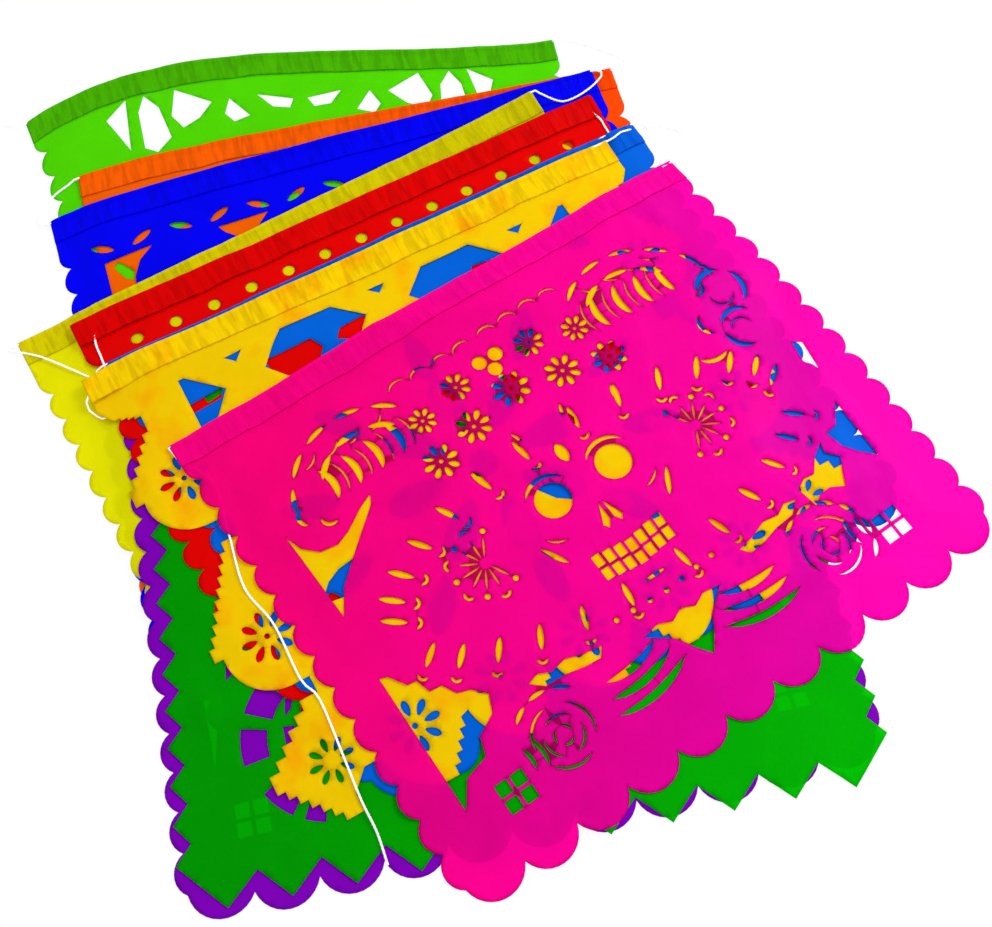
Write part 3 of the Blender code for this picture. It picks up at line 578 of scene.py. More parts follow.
@dataclass
class Flag:
    """One cut sheet of film with its hem.

    Attributes:
        name: The piece's name.
        corner: Where the fold's left end lies on the floor plan.
        turn: Where the fold points, in degrees.
        width: How long the fold is.
        finish: The film.
        border: The edge that it is cut with.
        hem: How its hem lies.
        first_cusp: How far down its side the first scallop starts.
        wave: The height of the sheet's own soft waves.
        seed: Which waves and creases it has.
        bow_rise, bow_shape: How far the fold has slid up, and where it has slid furthest.
        lean, lean_power: How far the left edge has slid inwards at its foot, and how late it starts.
        belly: How far the right edge bulges.
        open_end: How much of the hem's left end stands open.
        mouths: Where the string leaves the hem, inwards and down from its left and right corners.
    """
    name: str
    corner: Point
    turn: float
    width: float
    finish: FilmFinish
    border: Border = Border.SCALLOPED
    hem: Hem = Hem.PRESSED
    first_cusp: float = 0.033
    wave: float = 0.0005
    seed: int = 1
    bow_rise: float = 0.0
    bow_shape: float = 0.6
    lean: float = 0.0
    lean_power: float = 1.0
    belly: float = 0.0
    open_end: float = 0.0
    mouths: tuple[Point, Point] = ((0.0, FOLD_RADIUS), (0.0, FOLD_RADIUS))

    scallop_depth = 0.0065
    scallop_count = 13
    foot_depth = 0.0135
    foot_count = 11
    tooth_depth = 0.0095
    tooth_pitch = 0.0227
    tooth_foot = 0.018
    lobe_depth = 0.0095
    lobe_count = 14
    fan_radius = 0.035
    fan_step = 0.0056
    fan_middles = (0.100, 0.222, 0.309)

    hem_lean = math.radians(35)
    hem_rest = 0.0004
    open_rest = 0.0012
    hem_rows = 14
    hem_step = 0.0022
    hem_room = 0.0009
    face_step = 0.0042
    edge_step = 0.0045
    longest_side = 0.012
    wave_length = 0.075
    crease_length = 0.011
    crease_height = 0.0006
    open_crease_height = 0.0009
    wander = 0.0006
    wander_length = 0.035
    flap_top = 0.0013
    open_flap_top = 0.0022
    edge_room = 0.001

    def shift(self, u: np.ndarray, v: np.ndarray) -> tuple[np.ndarray, np.ndarray]:
        """How far the film has slid across the flag, and how far its hem has risen."""
        part = np.clip(u / self.width, 0, 1)
        down = np.clip(v / FLAG_HEIGHT, 0, 1)
        rise = self.bow_rise * np.maximum(np.sin(np.pi * part ** self.bow_shape), 0) ** 1.5
        across = self.lean * (1 - part) ** 2 * down ** self.lean_power
        if self.hem is Hem.BOWED:
            across = self.lean * (1 - part) ** 2 * down * (2 - down)
        across = across + self.belly * part ** 3 * np.maximum(np.sin(np.pi * down / 0.85), 0)
        return across, rise

    def floor(self, u: np.ndarray, v: np.ndarray) -> tuple[np.ndarray, np.ndarray]:
        """The floor plan's x, y of points of the flag."""
        across, rise = self.shift(u, v)
        u, v = u + across, v - rise * (1 - v / FLAG_HEIGHT)
        cosine, sine = math.cos(math.radians(self.turn)), math.sin(math.radians(self.turn))
        x = self.corner[0] - PILE_MIDDLE[0] + cosine * u + sine * v
        y = self.corner[1] - PILE_MIDDLE[1] + sine * u - cosine * v
        return x, y

    def shoulder(self, inset: float) -> Loop:
        """The start of the left side, from the hem down to its first cusp."""
        start = max(HEM_DEPTH, self.first_cusp - 0.013)
        return [(0, start)] + bulge((0, start), (inset, self.first_cusp), inset * 0.35, 6)

    def foot(self, inset: float, corner: float, low: float) -> Loop:
        """Round scallops from one bottom corner to the other."""
        pitch = (self.width - 2 * inset) / self.foot_count
        start, path = (inset, corner), []
        for number in range(1, self.foot_count + 1):
            end = (inset + number * pitch, low if number < self.foot_count else corner)
            path += bulge(start, end, self.foot_depth, 12)
            start = end
        return path

    def round_sides(self, depth: float, count: int) -> Loop:
        """The outline of a flag with count round scallops on each side."""
        low = FLAG_HEIGHT - self.foot_depth
        last = low - depth
        side = self.shoulder(depth)
        pitch = (last - self.first_cusp) / count
        for number in range(count):
            top = self.first_cusp + number * pitch
            side += bulge((depth, top), (depth, top + pitch), depth, 9)
        return side + self.foot(depth, last, low) + mirrored(side, self.width)[1:]

    def toothed_sides(self) -> Loop:
        """The outline of a flag with square teeth."""
        corner = FLAG_HEIGHT - self.tooth_foot - self.tooth_depth
        teeth = int((corner - HEM_DEPTH) / self.tooth_pitch)
        side = [(0, corner - teeth * self.tooth_pitch)]
        for number in range(teeth, 0, -1):
            tip = corner - number * self.tooth_pitch
            side += [(self.tooth_depth, tip + self.tooth_pitch / 2), (0, tip + self.tooth_pitch)]
        lead = FLAG_HEIGHT - corner
        pitch = (self.width - 2 * lead) / (self.foot_count - 1)
        path = [(lead, FLAG_HEIGHT)]
        for number in range(1, self.foot_count):
            tip = lead + number * pitch
            path += [(tip - pitch / 2, FLAG_HEIGHT - self.tooth_foot), (tip, FLAG_HEIGHT)]
        return side + path + mirrored(side, self.width)

    def side_fan(self, middle: float, top: float, stepped_foot: bool) -> Loop:
        """One fan of the left side, from its stepped shoulder to the notch under it."""
        waist, rim = self.fan_radius + 0.012, middle - self.fan_step * 1.6
        flights = max(2, round((rim - top) / (self.fan_step * 1.15)))
        path = [(waist, top)] + stair((self.fan_radius, top), (0, rim), flights, True)
        if stepped_foot:
            end = (self.fan_radius - self.fan_step, middle + self.fan_radius)
            return path + stair((0, middle + self.fan_step / 2), end, 6, False)
        path += [(0, middle), (self.fan_step, middle)]
        path += bulge((self.fan_step, middle), (self.fan_radius, middle + self.fan_radius),
                      self.fan_radius * 0.27, 9)
        return path + [(waist, middle + self.fan_radius)]

    def foot_fans(self) -> list[float]:
        """How far along the foot its five daisies stand."""
        pitch = (self.width / 2 - 0.089) / 2
        return [self.width / 2 + number * pitch for number in (-2, -1, 0, 1, 2)]

    def fanned_sides(self) -> Loop:
        """The outline of a flag edged with stepped fans."""
        side = mm((0, 28)) + stair(*mm((8, 38), (25, 46)), 4, False)
        side += stair(*mm((25, 51), (-3, 90)), 6, True) + mm((-3, 103), (3, 103))
        side += bulge(*mm((3, 103), (32, 137)), 0.0095, 9) + mm((47, 137))
        side += self.side_fan(self.fan_middles[1], 0.152, False)
        side += self.side_fan(self.fan_middles[2], 0.268, True)
        low = self.fan_middles[2] + self.fan_radius
        notch, tip = low - 4 * self.fan_step, FLAG_HEIGHT - 0.005
        inner = self.fan_radius + self.fan_step
        half = [(inner, low), (inner, low - 2 * self.fan_step),
                (self.fan_radius + 3 * self.fan_step, notch)]
        path = list(half)
        middles = self.foot_fans()
        for number, middle in enumerate(middles):
            reach = (middles[1] - middles[0]) / 2 - 0.003
            left, right = middle - reach, middle + reach
            fan = [(left, notch), (left, notch + 0.002)]
            fan += bulge((left, notch + 0.002), (middle, tip), 0.006, 9)
            fan += stair((middle + self.fan_step, tip), (right, notch + 0.002), 5, False)
            path += mirrored(fan, 2 * middle) if number > 2 else fan
        return side + path + mirrored(half, self.width) + mirrored(side, self.width)

    def outline(self) -> Loop:
        """The edge of the sheet below its hem, from the left side round to the right one."""
        if self.border is Border.TOOTHED:
            return self.toothed_sides()
        if self.border is Border.FANNED:
            return self.fanned_sides()
        if self.border is Border.LOBED:
            return self.round_sides(self.lobe_depth, self.lobe_count)
        return self.round_sides(self.scallop_depth, self.scallop_count)

    def cuts(self) -> list[Loop]:
        """The holes of the pattern."""
        return []

    def fold_path(self) -> np.ndarray:
        """How the film goes round the string and back: distance, place down the face, height."""
        lean = 0 if self.hem is Hem.OPEN else self.hem_lean
        angles = np.linspace(0, math.pi + lean, 9)
        down = FOLD_RADIUS - FOLD_RADIUS * np.sin(angles)
        up = FOLD_RADIUS - FOLD_RADIUS * np.cos(angles)
        rest = self.open_rest if self.hem is Hem.OPEN else self.hem_rest
        reach = HEM_DEPTH if self.hem is Hem.OPEN else down[-1] + (up[-1] - rest) / math.tan(lean)
        down, up = np.append(down, reach), np.append(up, rest)
        if self.hem is not Hem.OPEN:
            down, up = np.append(down, HEM_DEPTH), np.append(up, rest)
        steps = np.hypot(np.diff(down), np.diff(up))
        return np.stack([np.concatenate([[0], np.cumsum(steps)]), down, up])

    def flat_points(self, fold_length: float) -> tuple[list[Vector], list[tuple[int, int]], list[Loop]]:
        """The unrolled sheet's points and edges, where the hem runs up past v = FOLD_RADIUS.

        Args:
            fold_length: How much film the hem holds.

        Returns:
            The points, the edges between the outline's and the holes' points, and the loops.
        """
        head = FOLD_RADIUS - fold_length
        outline = [(0.0, head), (0.0, HEM_DEPTH * 0.5)] + self.outline()
        outline += [(self.width, HEM_DEPTH * 0.5), (self.width, head)]
        loops = [self.filled(loop) for loop in [outline, *self.cuts()]]
        points, edges = [], []
        for loop in loops:
            first = len(points)
            points += [Vector(point) for point in loop]
            edges += [(first + k, first + (k + 1) % len(loop)) for k in range(len(loop))]
        tree = KDTree(len(points))
        for index, point in enumerate(points):
            tree.insert((*point, 0), index)
        tree.balance()
        rows = list(np.arange(head, FOLD_RADIUS + 0.0001, fold_length / self.hem_rows))[1:]
        rows += list(np.arange(FOLD_RADIUS + 0.002, HEM_DEPTH + 0.004, self.hem_step))
        for v in rows:
            for u in np.arange(self.hem_step, self.width - 0.001, self.hem_step):
                if tree.find((u, v, 0))[2] > self.hem_room:
                    points.append(Vector((u, v)))
        step = self.face_step
        for number, v in enumerate(np.arange(rows[-1] + step, FLAG_HEIGHT, step * 0.87)):
            for u in np.arange(step * (0.5 + 0.5 * (number % 2)), self.width, step):
                if tree.find((u, v, 0))[2] > step * 0.4:
                    points.append(Vector((u, v)))
        return points, edges, loops

    def filled(self, loop: Loop) -> Loop:
        """The loop with points added along its long straight stretches."""
        result = []
        for (u, v), (end_u, end_v) in zip(loop, loop[1:] + loop[:1]):
            count = max(1, int(math.dist((u, v), (end_u, end_v)) / self.edge_step))
            result += [(u + (end_u - u) * k / count, v + (end_v - v) * k / count) for k in range(count)]
        return result

    @staticmethod
    def inside(x: np.ndarray, y: np.ndarray, loop: Loop) -> np.ndarray:
        """Which of the points lie inside a loop."""
        ring = np.array(loop)
        found = np.zeros(len(x), bool)
        low, high = ring.min(axis=0), ring.max(axis=0)
        near = (x > low[0]) & (x < high[0]) & (y > low[1]) & (y < high[1])
        px, py = x[near], y[near]
        odd = np.zeros(len(px), bool)
        for (ax, ay), (bx, by) in zip(ring, np.roll(ring, -1, axis=0)):
            if ay == by:
                continue
            crosses = ((ay > py) != (by > py)) & (px < (bx - ax) * (py - ay) / (by - ay) + ax)
            odd ^= crosses
        found[near] = odd
        return found

    def flat_mesh(self, fold_length: float) -> tuple[np.ndarray, np.ndarray]:
        """Points and triangles of the unrolled sheet, with its holes open."""
        points, edges, loops = self.flat_points(fold_length)
        made = delaunay_2d_cdt(points, edges, [], 1, 1e-7, False)
        flat = np.array([tuple(point) for point in made[0]])
        faces = np.array([tuple(face) for face in made[2] if len(face) == 3])
        middles = flat[faces].mean(axis=1)
        keep = self.inside(middles[:, 0], middles[:, 1], loops[0])
        for loop in loops[1:]:
            keep &= ~self.inside(middles[:, 0], middles[:, 1], loop)
        spans = [np.linalg.norm(flat[faces[:, k]] - flat[faces[:, k - 1]], axis=1) for k in range(3)]
        keep &= np.max(spans, axis=0) < self.longest_side
        used = np.unique(faces[keep])
        return flat[used], np.searchsorted(used, faces[keep])

    def laid(self, pile: Pile) -> np.ndarray:
        """Heights of the flag's underside, draped over the pile with its own soft waves."""
        return pile.drape() + swell(pile.x, pile.y, self.wave_length, self.seed) * self.wave

    def build(self, pile: Pile, under: np.ndarray) -> bpy.types.Object:
        """The whole draped sheet with its hem, laid on the pile, which grows by it.

        Args:
            pile: The pile.
            under: Heights of the sheet's underside.

        Returns:
            The mesh object, linked to the scene.
        """
        path = self.fold_path()
        fold_length = path[0, -1]
        flat, faces = self.flat_mesh(fold_length)
        u, s = flat[:, 0], flat[:, 1]
        back = np.clip(FOLD_RADIUS - s, 0, fold_length)
        v = np.where(s >= FOLD_RADIUS, s, np.interp(back, path[0], path[1]))
        lift = np.where(s >= FOLD_RADIUS, 0.0, np.interp(back, path[0], path[2]))
        crease = swell(u, v, self.crease_length, self.seed + 50, 5.0) * 0.75
        crease = crease + swell(u, v, self.crease_length / 2, self.seed + 51, 9.0) * 0.45
        share = np.clip(back / fold_length * 2.5, 0, 1)
        lift += crease * share * (self.open_crease_height if self.hem is Hem.OPEN else self.crease_height)
        if self.open_end:
            gape = np.clip((self.open_end - u) / 0.006, 0, 1) * 2.1 * FOLD_RADIUS
            lift = np.where(back > path[0, 6], np.maximum(lift, gape), lift)
        v = v + ripple(u, v * 0, self.wander_length, self.seed + 70) * self.wander * share
        x, y = self.floor(u, v)
        z = pile.sample(under, x, y) + FILM / 2 + lift
        mesh = self.thick_mesh(np.stack([x, y, z], axis=1), faces, flat, v)
        self.add_to_pile(pile, under)
        return placed(self.name + "_film", mesh)

    def thick_mesh(self, places: np.ndarray, faces: np.ndarray, flat: np.ndarray,
                   v: np.ndarray) -> bpy.types.Mesh:
        """A closed thin sheet about the given middle surface.

        Args:
            places: The middle surface's points.
            faces: Its triangles.
            flat: The same points on the unrolled sheet.
            v: How far down the face each point lies.

        Returns:
            The mesh, with the attributes that its film's material reads.
        """
        corners, s = places[faces], flat[:, 1]
        normals = np.cross(corners[:, 1] - corners[:, 0], corners[:, 2] - corners[:, 0])
        flip = np.median((s[faces] >= FOLD_RADIUS).all(axis=1) * normals[:, 2]) < 0
        if flip or normals[(s[faces] > HEM_DEPTH).all(axis=1)][:, 2].mean() < 0:
            faces, normals = faces[:, ::-1], -normals
        smooth = np.zeros_like(places)
        for k in range(3):
            np.add.at(smooth, faces[:, k], normals)
        length = np.linalg.norm(smooth, axis=1, keepdims=True)
        smooth /= np.where(length > 0, length, 1)
        count = len(places)
        points = np.concatenate([places + smooth * FILM / 2, places - smooth * FILM / 2])
        sides = np.concatenate([faces[:, [0, 1]], faces[:, [1, 2]], faces[:, [2, 0]]])
        known = {(a, b) for a, b in sides.tolist()}
        rim = sorted((a, b) for a, b in known if (b, a) not in known)
        walls = [(b, a, a + count, b + count) for a, b in rim]
        polygons = faces.tolist() + (faces[:, ::-1] + count).tolist() + walls
        mesh = bpy.data.meshes.new(self.name + "_film")
        mesh.from_pydata(points.tolist(), [], polygons)
        doubled = np.clip((HEM_DEPTH - v) / 0.001 + 0.5, 0, 1)
        folded = np.maximum(np.where(s < FOLD_RADIUS, 1.0, 0.0), doubled)
        cut = np.zeros(count)
        cut[np.unique(np.array(rim))] = 1.0
        for name, values in (("folded", folded), ("along", flat[:, 0]), ("down", s), ("rim", cut)):
            layer = mesh.attributes.new(name, "FLOAT", "POINT")
            layer.data.foreach_set("value", np.tile(values, 2).astype(np.float32))
        mesh.polygons.foreach_set("use_smooth", [True] * len(mesh.polygons))
        return mesh

    def add_to_pile(self, pile: Pile, under: np.ndarray) -> None:
        """Raises the pile's top by this flag, with its hem."""
        x, y = self.floor_grid(pile)
        room = self.edge_room
        body = (x > -room) & (x < self.width + room) & (y > 0) & (y < FLAG_HEIGHT + room)
        thickness = np.full_like(under, FILM * 1.5)
        thickness[y < HEM_DEPTH + room] = self.open_flap_top if self.hem is Hem.OPEN else self.flap_top
        thickness[y < FOLD_RADIUS * 2 + 0.0015] = 2 * FOLD_RADIUS + 0.0005
        pile.top = np.where(body, np.maximum(pile.top, under + thickness), pile.top)

    def floor_grid(self, pile: Pile) -> tuple[np.ndarray, np.ndarray]:
        """The flag's u, v of every point of the pile's grid."""
        cosine, sine = math.cos(math.radians(self.turn)), math.sin(math.radians(self.turn))
        x = pile.x - (self.corner[0] - PILE_MIDDLE[0])
        y = pile.y - (self.corner[1] - PILE_MIDDLE[1])
        u, v = cosine * x + sine * y, sine * x - cosine * y
        across, rise = self.shift(u, v)
        return u - across, (v + rise) / (1 + rise / FLAG_HEIGHT)

    def dress(self, pile: Pile, under: np.ndarray) -> None:
        """Builds the flag, gives it its film and hands it to the frame."""
        piece = self.build(pile, under)
        piece.data.materials.append(self.finish.material())
        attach(piece, "root")
        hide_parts(self.name)
        log.info("%s: %d faces, top at %.1f mm", piece.name, len(piece.data.polygons),
                 1000 * max(corner[2] for corner in piece.bound_box))


class LimeFlag(Flag):
    """The lime flag, with kites and petals in a row over a medallion."""

    def cuts(self) -> list[Loop]:
        """The holes of the pattern."""
        left = [
            mm((54, 32), (72, 20), (66, 64)),
            mm((86, 21), (95, 34), (99, 62), (86, 72), (77, 66), (79, 34)),
            mm((110, 22), (136, 38), (124, 50), (110, 56), (103, 44)),
            mm((150, 37), (163, 54), (150, 58), (144, 50)),
            mm((172, 36), (199, 42), (195, 50), (182, 48)),
        ]
        left += upright_petals(0.060, (0.135, 0.225), 0.050, 0.016)
        return both_sides(left, self.width) + daisy(self.width / 2, 0.205, 6, 0.060, 0.0155, 0)


class OrangeFlag(Flag):
    """The orange flag, with windows and petals down the sides and round a star."""

    def cuts(self) -> list[Loop]:
        """The holes of the pattern."""
        left = [
            mm((15, 86), (19, 83), (23, 87), (29, 94), (28, 101), (22, 98)),
            mm((57, 51), (78, 50), (75, 66), (60, 69)),
            mm((126.5, 58), (130, 57), (131, 68), (126, 70)),
            mm((141, 60.5), (156, 58), (152, 69), (144, 70)),
            mm((169, 46), (191, 46), (186, 63), (173, 63)),
        ]
        left += upright_petals(0.042, (0.130, 0.185, 0.245), 0.036, 0.018)
        return both_sides(left, self.width) + daisy(self.width / 2, 0.185, 6, 0.060, 0.015, 0.006)


class BlueFlag(Flag):
    """The dark blue flag, with a row of leaf slits over curved corner windows."""

    def cuts(self) -> list[Loop]:
        """The holes of the pattern."""
        loops = []
        for number in range(13):
            u = self.width / 2 + (number - 6) * 0.0288 - 0.0062
            loops.append(petal(u, 0.0400, 0.0172, 0.0056, 25 if number % 2 == 0 else -29))
        left = [
            mm((30, 52), (66, 49), (55, 58), (49, 70), (46, 88), (30, 92)),
            mm((114, 50), (152, 48), (140, 60), (128, 64), (118, 56)),
            petal(0.040, 0.180, 0.060, 0.016, 90),
        ]
        return loops + both_sides(left, self.width) + daisy(self.width / 2, 0.205, 6, 0.055, 0.013, 0)


class LemonFlag(Flag):
    """The lemon flag, with petals down the sides and a daisy."""

    def cuts(self) -> list[Loop]:
        """The holes of the pattern."""
        left = upright_petals(0.055, (0.130, 0.235), 0.040, 0.016)
        return both_sides(left, self.width) + daisy(self.width / 2, 0.190, 6, 0.055, 0.014, 0)


class PurpleFlag(Flag):
    """The purple flag, with tall side windows and small panes."""

    def cuts(self) -> list[Loop]:
        """The holes of the pattern."""
        left = [mm((29, 215), (35, 225), (40, 226), (44, 237), (35, 249), (31, 271))]
        left += panes(0.039, 0.294, 0.0085, 0.0025)
        return both_sides(left, self.width) + daisy(self.width / 2, 0.190, 6, 0.060, 0.016, 0)


class GreenFlag(Flag):
    """The green flag, with wheels of windows over its bottom corners."""

    def cuts(self) -> list[Loop]:
        """The holes of the pattern."""
        wheel = ((100, 114, 0.040, 0.052), (122, 146, 0.034, 0.052), (168, 192, 0.038, 0.054),
                 (202, 226, 0.036, 0.054))
        loops = [ring_window(0.097, 0.270, *window) for window in wheel]
        loops += [
            mm((72, 246), (78, 242), (75, 252), (71, 256)),
            mm((69, 262), (76, 262), (77, 272), (70, 274)),
            mm((39, 215), (45, 222), (38, 228)),
            mm((346, 272), (355, 273), (352, 281)),
        ]
        left = upright_petals(0.045, (0.100, 0.165), 0.036, 0.014)
        return loops + both_sides(left, self.width) + daisy(self.width / 2, 0.150, 6, 0.055, 0.014, 0)


class RedFlag(Flag):
    """The red flag, with a row of round holes over wide windows."""

    def cuts(self) -> list[Loop]:
        """The holes of the pattern."""
        loops = [disc(self.width / 2 + (number - 6) * 0.0287, 0.0315, 0.0043) for number in range(13)]
        left = [mm((60, 80), (104, 80), (112, 92), (60, 102)), petal(0.055, 0.245, 0.040, 0.018, 90)]
        middle = mm((176, 78), (243, 78), (231, 98), (188, 98))
        loops.append([(self.width / 2 + u - 0.2095, v) for u, v in middle])
        loops += daisy(self.width / 2, 0.195, 8, 0.080, 0.022, 0.012, 15)
        return loops + both_sides(left, self.width)


class LightBlueFlag(Flag):
    """The light blue flag, with half round windows under the hem."""

    def cuts(self) -> list[Loop]:
        """The holes of the pattern."""
        left = [
            mm((35, 57), (60, 55), (56, 62), (35, 64)),
            mm((94, 52), (128, 53), (133, 62), (122, 74), (104, 76), (94, 66)),
            mm((150, 55), (168, 53), (176, 66), (160, 70), (144, 62)),
            *upright_petals(0.050, (0.150, 0.240), 0.040, 0.016),
            petal(0.115, 0.150, 0.050, 0.020, 60),
            petal(0.115, 0.235, 0.050, 0.020, 120),
        ]
        return both_sides(left, self.width) + daisy(self.width / 2, 0.195, 6, 0.085, 0.028, 0.013)


class GoldFlag(Flag):
    """The gold flag, with arched windows under the hem and a daisy on each fan of its border."""

    def cuts(self) -> list[Loop]:
        """The holes of the pattern."""
        middle, small = self.width / 2, (8, 0.0175, 0.0050, 0.0019)
        left = [
            mm((57, 33), (61, 33), (83, 53), (70, 70), (64, 72), (57, 73)),
            mm((91, 33), (104, 33), (97.5, 39)),
            mm((113, 52), (134, 30), (172, 30), (191, 49), (180, 63), (165, 69), (140, 70), (124, 65)),
        ]
        left += daisy(0.0325, self.fan_middles[0], *small)
        left += daisy(0.035, self.fan_middles[1], *small)
        left += daisy(0.0365, self.fan_middles[2], 8, 0.0150, 0.0040, 0)
        for u in self.foot_fans()[:2]:
            left += daisy(u, 0.315, *small)
        loops = both_sides(left, self.width)
        loops.append([(middle + u, v) for u, v in mm((-6.5, 29.5), (6.5, 29.5), (0, 36))])
        for angle in range(18, 378, 36):
            turn = math.radians(angle)
            place = (middle + 0.118 * math.cos(turn), 0.186 + 0.088 * math.sin(turn))
            loops.append(petal(*place, 0.040, 0.017, angle))
        return loops + daisy(middle, 0.186, 8, 0.072, 0.021, 0.010) + daisy(middle, 0.315, *small)


class MagentaFlag(Flag):
    """The magenta flag: a sugar skull under a crown of daisies, between feathers, roses and leaves."""

    @staticmethod
    def skull(middle: float) -> list[Loop]:
        """Eyes, brows, nose and teeth of a sugar skull that looks straight ahead."""
        loops = [petal(middle, 0.150, 0.015, 0.008, 90), petal(middle, 0.2505, 0.016, 0.0024, 0)]
        nose = mm((1.5, 192), (7.5, 206), (5, 210), (1.5, 205))
        for side in (-1, 1):
            eye = middle + side * 0.024
            loops.append(disc(eye, 0.174, 0.0125, 22))
            loops.append([(middle + side * u, v) for u, v in nose])
            loops.append(curved_slit(eye, 0.175, 0.0185, 215, 325, 0.0030))
            cheek = (90 - side * 55, 90 - side * 5)
            loops.append(curved_slit(middle + side * 0.030, 0.184, 0.0165, *cheek, 0.0013))
            loops.append(petal(middle + side * 0.045, 0.205, 0.020, 0.0036, side * -60))
        for number in range(-3, 4):
            for row, length in ((0.222, 0.0085), (0.2325, 0.0080)):
                u, v = middle + number * 0.0080, row - abs(number) * 0.0011
                loops.append(box(u - 0.0030, v, u + 0.0030, v + length))
        return loops

    @staticmethod
    def feathers() -> list[Loop]:
        """A corner of feathers: dashes round the outside, broad slits and thin quills within."""
        loops = curved_slits(0.100, 0.100, 0.056, (192, 218, 244, 270, 296), 19, 0.0034)
        loops += curved_slits(0.104, 0.100, 0.040, (214, 250, 286), 27, 0.0042)
        for number in range(8):
            u, v = 0.054 + number * 0.0088, 0.083 - 0.0006 * number
            loops.append(curved_slit(u, v, 0.022, -36, 32, 0.0050 if number % 2 == 0 else 0.0013))
        loops += [curved_slit(0.066 + number * 0.017, 0.054, 0.011, 20, 95, 0.0012) for number in range(4)]
        loops.append(curved_slit(0.051, 0.093, 0.007, 120, 260, 0.0030))
        return loops + [curved_slit(0.062, 0.101, 0.006, 60, 200, 0.0026)]

    @staticmethod
    def sunburst(middle: float) -> list[Loop]:
        """Slits and moons that ring the skull, in its left half, above it and then beside it."""
        loops = []
        for angles, centre, wide, high, source, length, breadth, away, moon, opens in (
                (range(184, 275, 13), 0.187, 0.152, 0.054, 0.300, 0.0175, 0.0042, -0.0140, 0.0040, 0),
                (range(158, 86, -12), 0.190, 0.156, 0.062, 0.100, 0.0165, 0.0040, 0.0135, 0.0036, 180)):
            for turn in map(math.radians, angles):
                u, v = middle + wide * math.cos(turn), centre + high * math.sin(turn)
                angle = math.degrees(math.atan2(v - source, u - middle))
                loops.append(petal(u, v, length, breadth, angle))
                loops.append(crescent(*polar(u, v, away, angle), moon, angle + opens))
        return loops

    @staticmethod
    def bouquet(u: float, v: float) -> list[Loop]:
        """A burst of thin stamens with berries and moons round it."""
        loops = []
        for number, angle in enumerate(range(60, 330, 30)):
            loops.append(petal(*polar(u, v, 0.0105, angle), 0.0130, 0.0013, angle))
            if number % 2 == 0:
                loops.append(disc(*polar(u, v, 0.0215, angle), 0.0020, 10))
            else:
                loops.append(crescent(*polar(u, v, 0.0225, angle), 0.0038, angle + 180))
        return loops

    @staticmethod
    def rose(u: float, v: float) -> list[Loop]:
        """Thin curved cuts that draw an open rose."""
        loops = []
        for radius, turn, breadth in ((0.0060, 40, 0.0014), (0.0125, 0, 0.0014), (0.0195, 65, 0.0016)):
            loops += curved_slits(u, v, radius, (turn, turn + 120, turn + 240), 84, breadth)
        return loops

    @staticmethod
    def leaves() -> list[Loop]:
        """A spray of long curved leaves, and the two short ones beside it."""
        loops = [curved_slit(0.157, 0.232, radius, 62, 104, 0.0052) for radius in (0.058, 0.0685, 0.079)]
        return loops + [curved_slit(0.060, 0.300, radius, -24, 18, 0.0026) for radius in (0.020, 0.028)]

    @staticmethod
    def scrolls() -> list[Loop]:
        """Scrolls over the right edge, and the dashes over the right rose."""
        places = (
            (0.372, 0.112, 0.017, 205, 300, 0.0044), (0.372, 0.112, 0.017, 325, 415, 0.0040),
            (0.368, 0.142, 0.015, 95, 190, 0.0042), (0.368, 0.142, 0.015, 215, 320, 0.0036),
            (0.352, 0.128, 0.010, 120, 240, 0.0030), (0.371, 0.113, 0.009, 30, 190, 0.0014),
            (0.367, 0.143, 0.008, 200, 350, 0.0014), (0.338, 0.140, 0.014, 60, 150, 0.0034),
        )
        dashes = curved_slits(0.315, 0.299, 0.0290, (320, 352, 384), 24, 0.0030)
        return [curved_slit(*place) for place in places] + dashes

    def windows(self) -> list[Loop]:
        """The large openings behind the pattern."""
        top = mm((31, 98), (35, 110), (44, 119), (56, 121), (66, 117), (80, 108), (91, 103), (88, 109),
                 (60, 133), (44, 147), (34, 163))
        low = mm((31, 208), (36, 210), (43, 221), (49, 222), (52, 232), (60, 233), (65, 242), (73, 245),
                 (81, 253), (76, 264), (62, 271), (58, 283), (42, 287), (31, 302))
        star = mm((321, 258), (329, 254), (337, 255), (345, 246), (355, 240), (353, 247), (360, 255),
                  (354, 264), (349, 273), (340, 268), (332, 268), (324, 273))
        wedge = mm((363, 237), (372, 236), (383, 222), (382, 268), (372, 258), (366, 250))
        foot = mm((-30, 279), (-18, 277), (-9, 281), (0, 277), (9, 281), (18, 277), (30, 279), (14, 291),
                  (8, 301), (0, 311), (-8, 301), (-14, 291))
        side = mm((104, 262), (112, 260), (120, 264), (131, 262), (142, 266), (155, 268), (150, 274),
                  (139, 273), (126, 270), (112, 269))
        edge = mm((388, 170), (394, 174), (390, 196), (385, 186))
        foot = [(self.width / 2 + u, v) for u, v in foot]
        return [top, low, star, wedge, foot, edge, *self.scrolls(), *both_sides([side], self.width)]

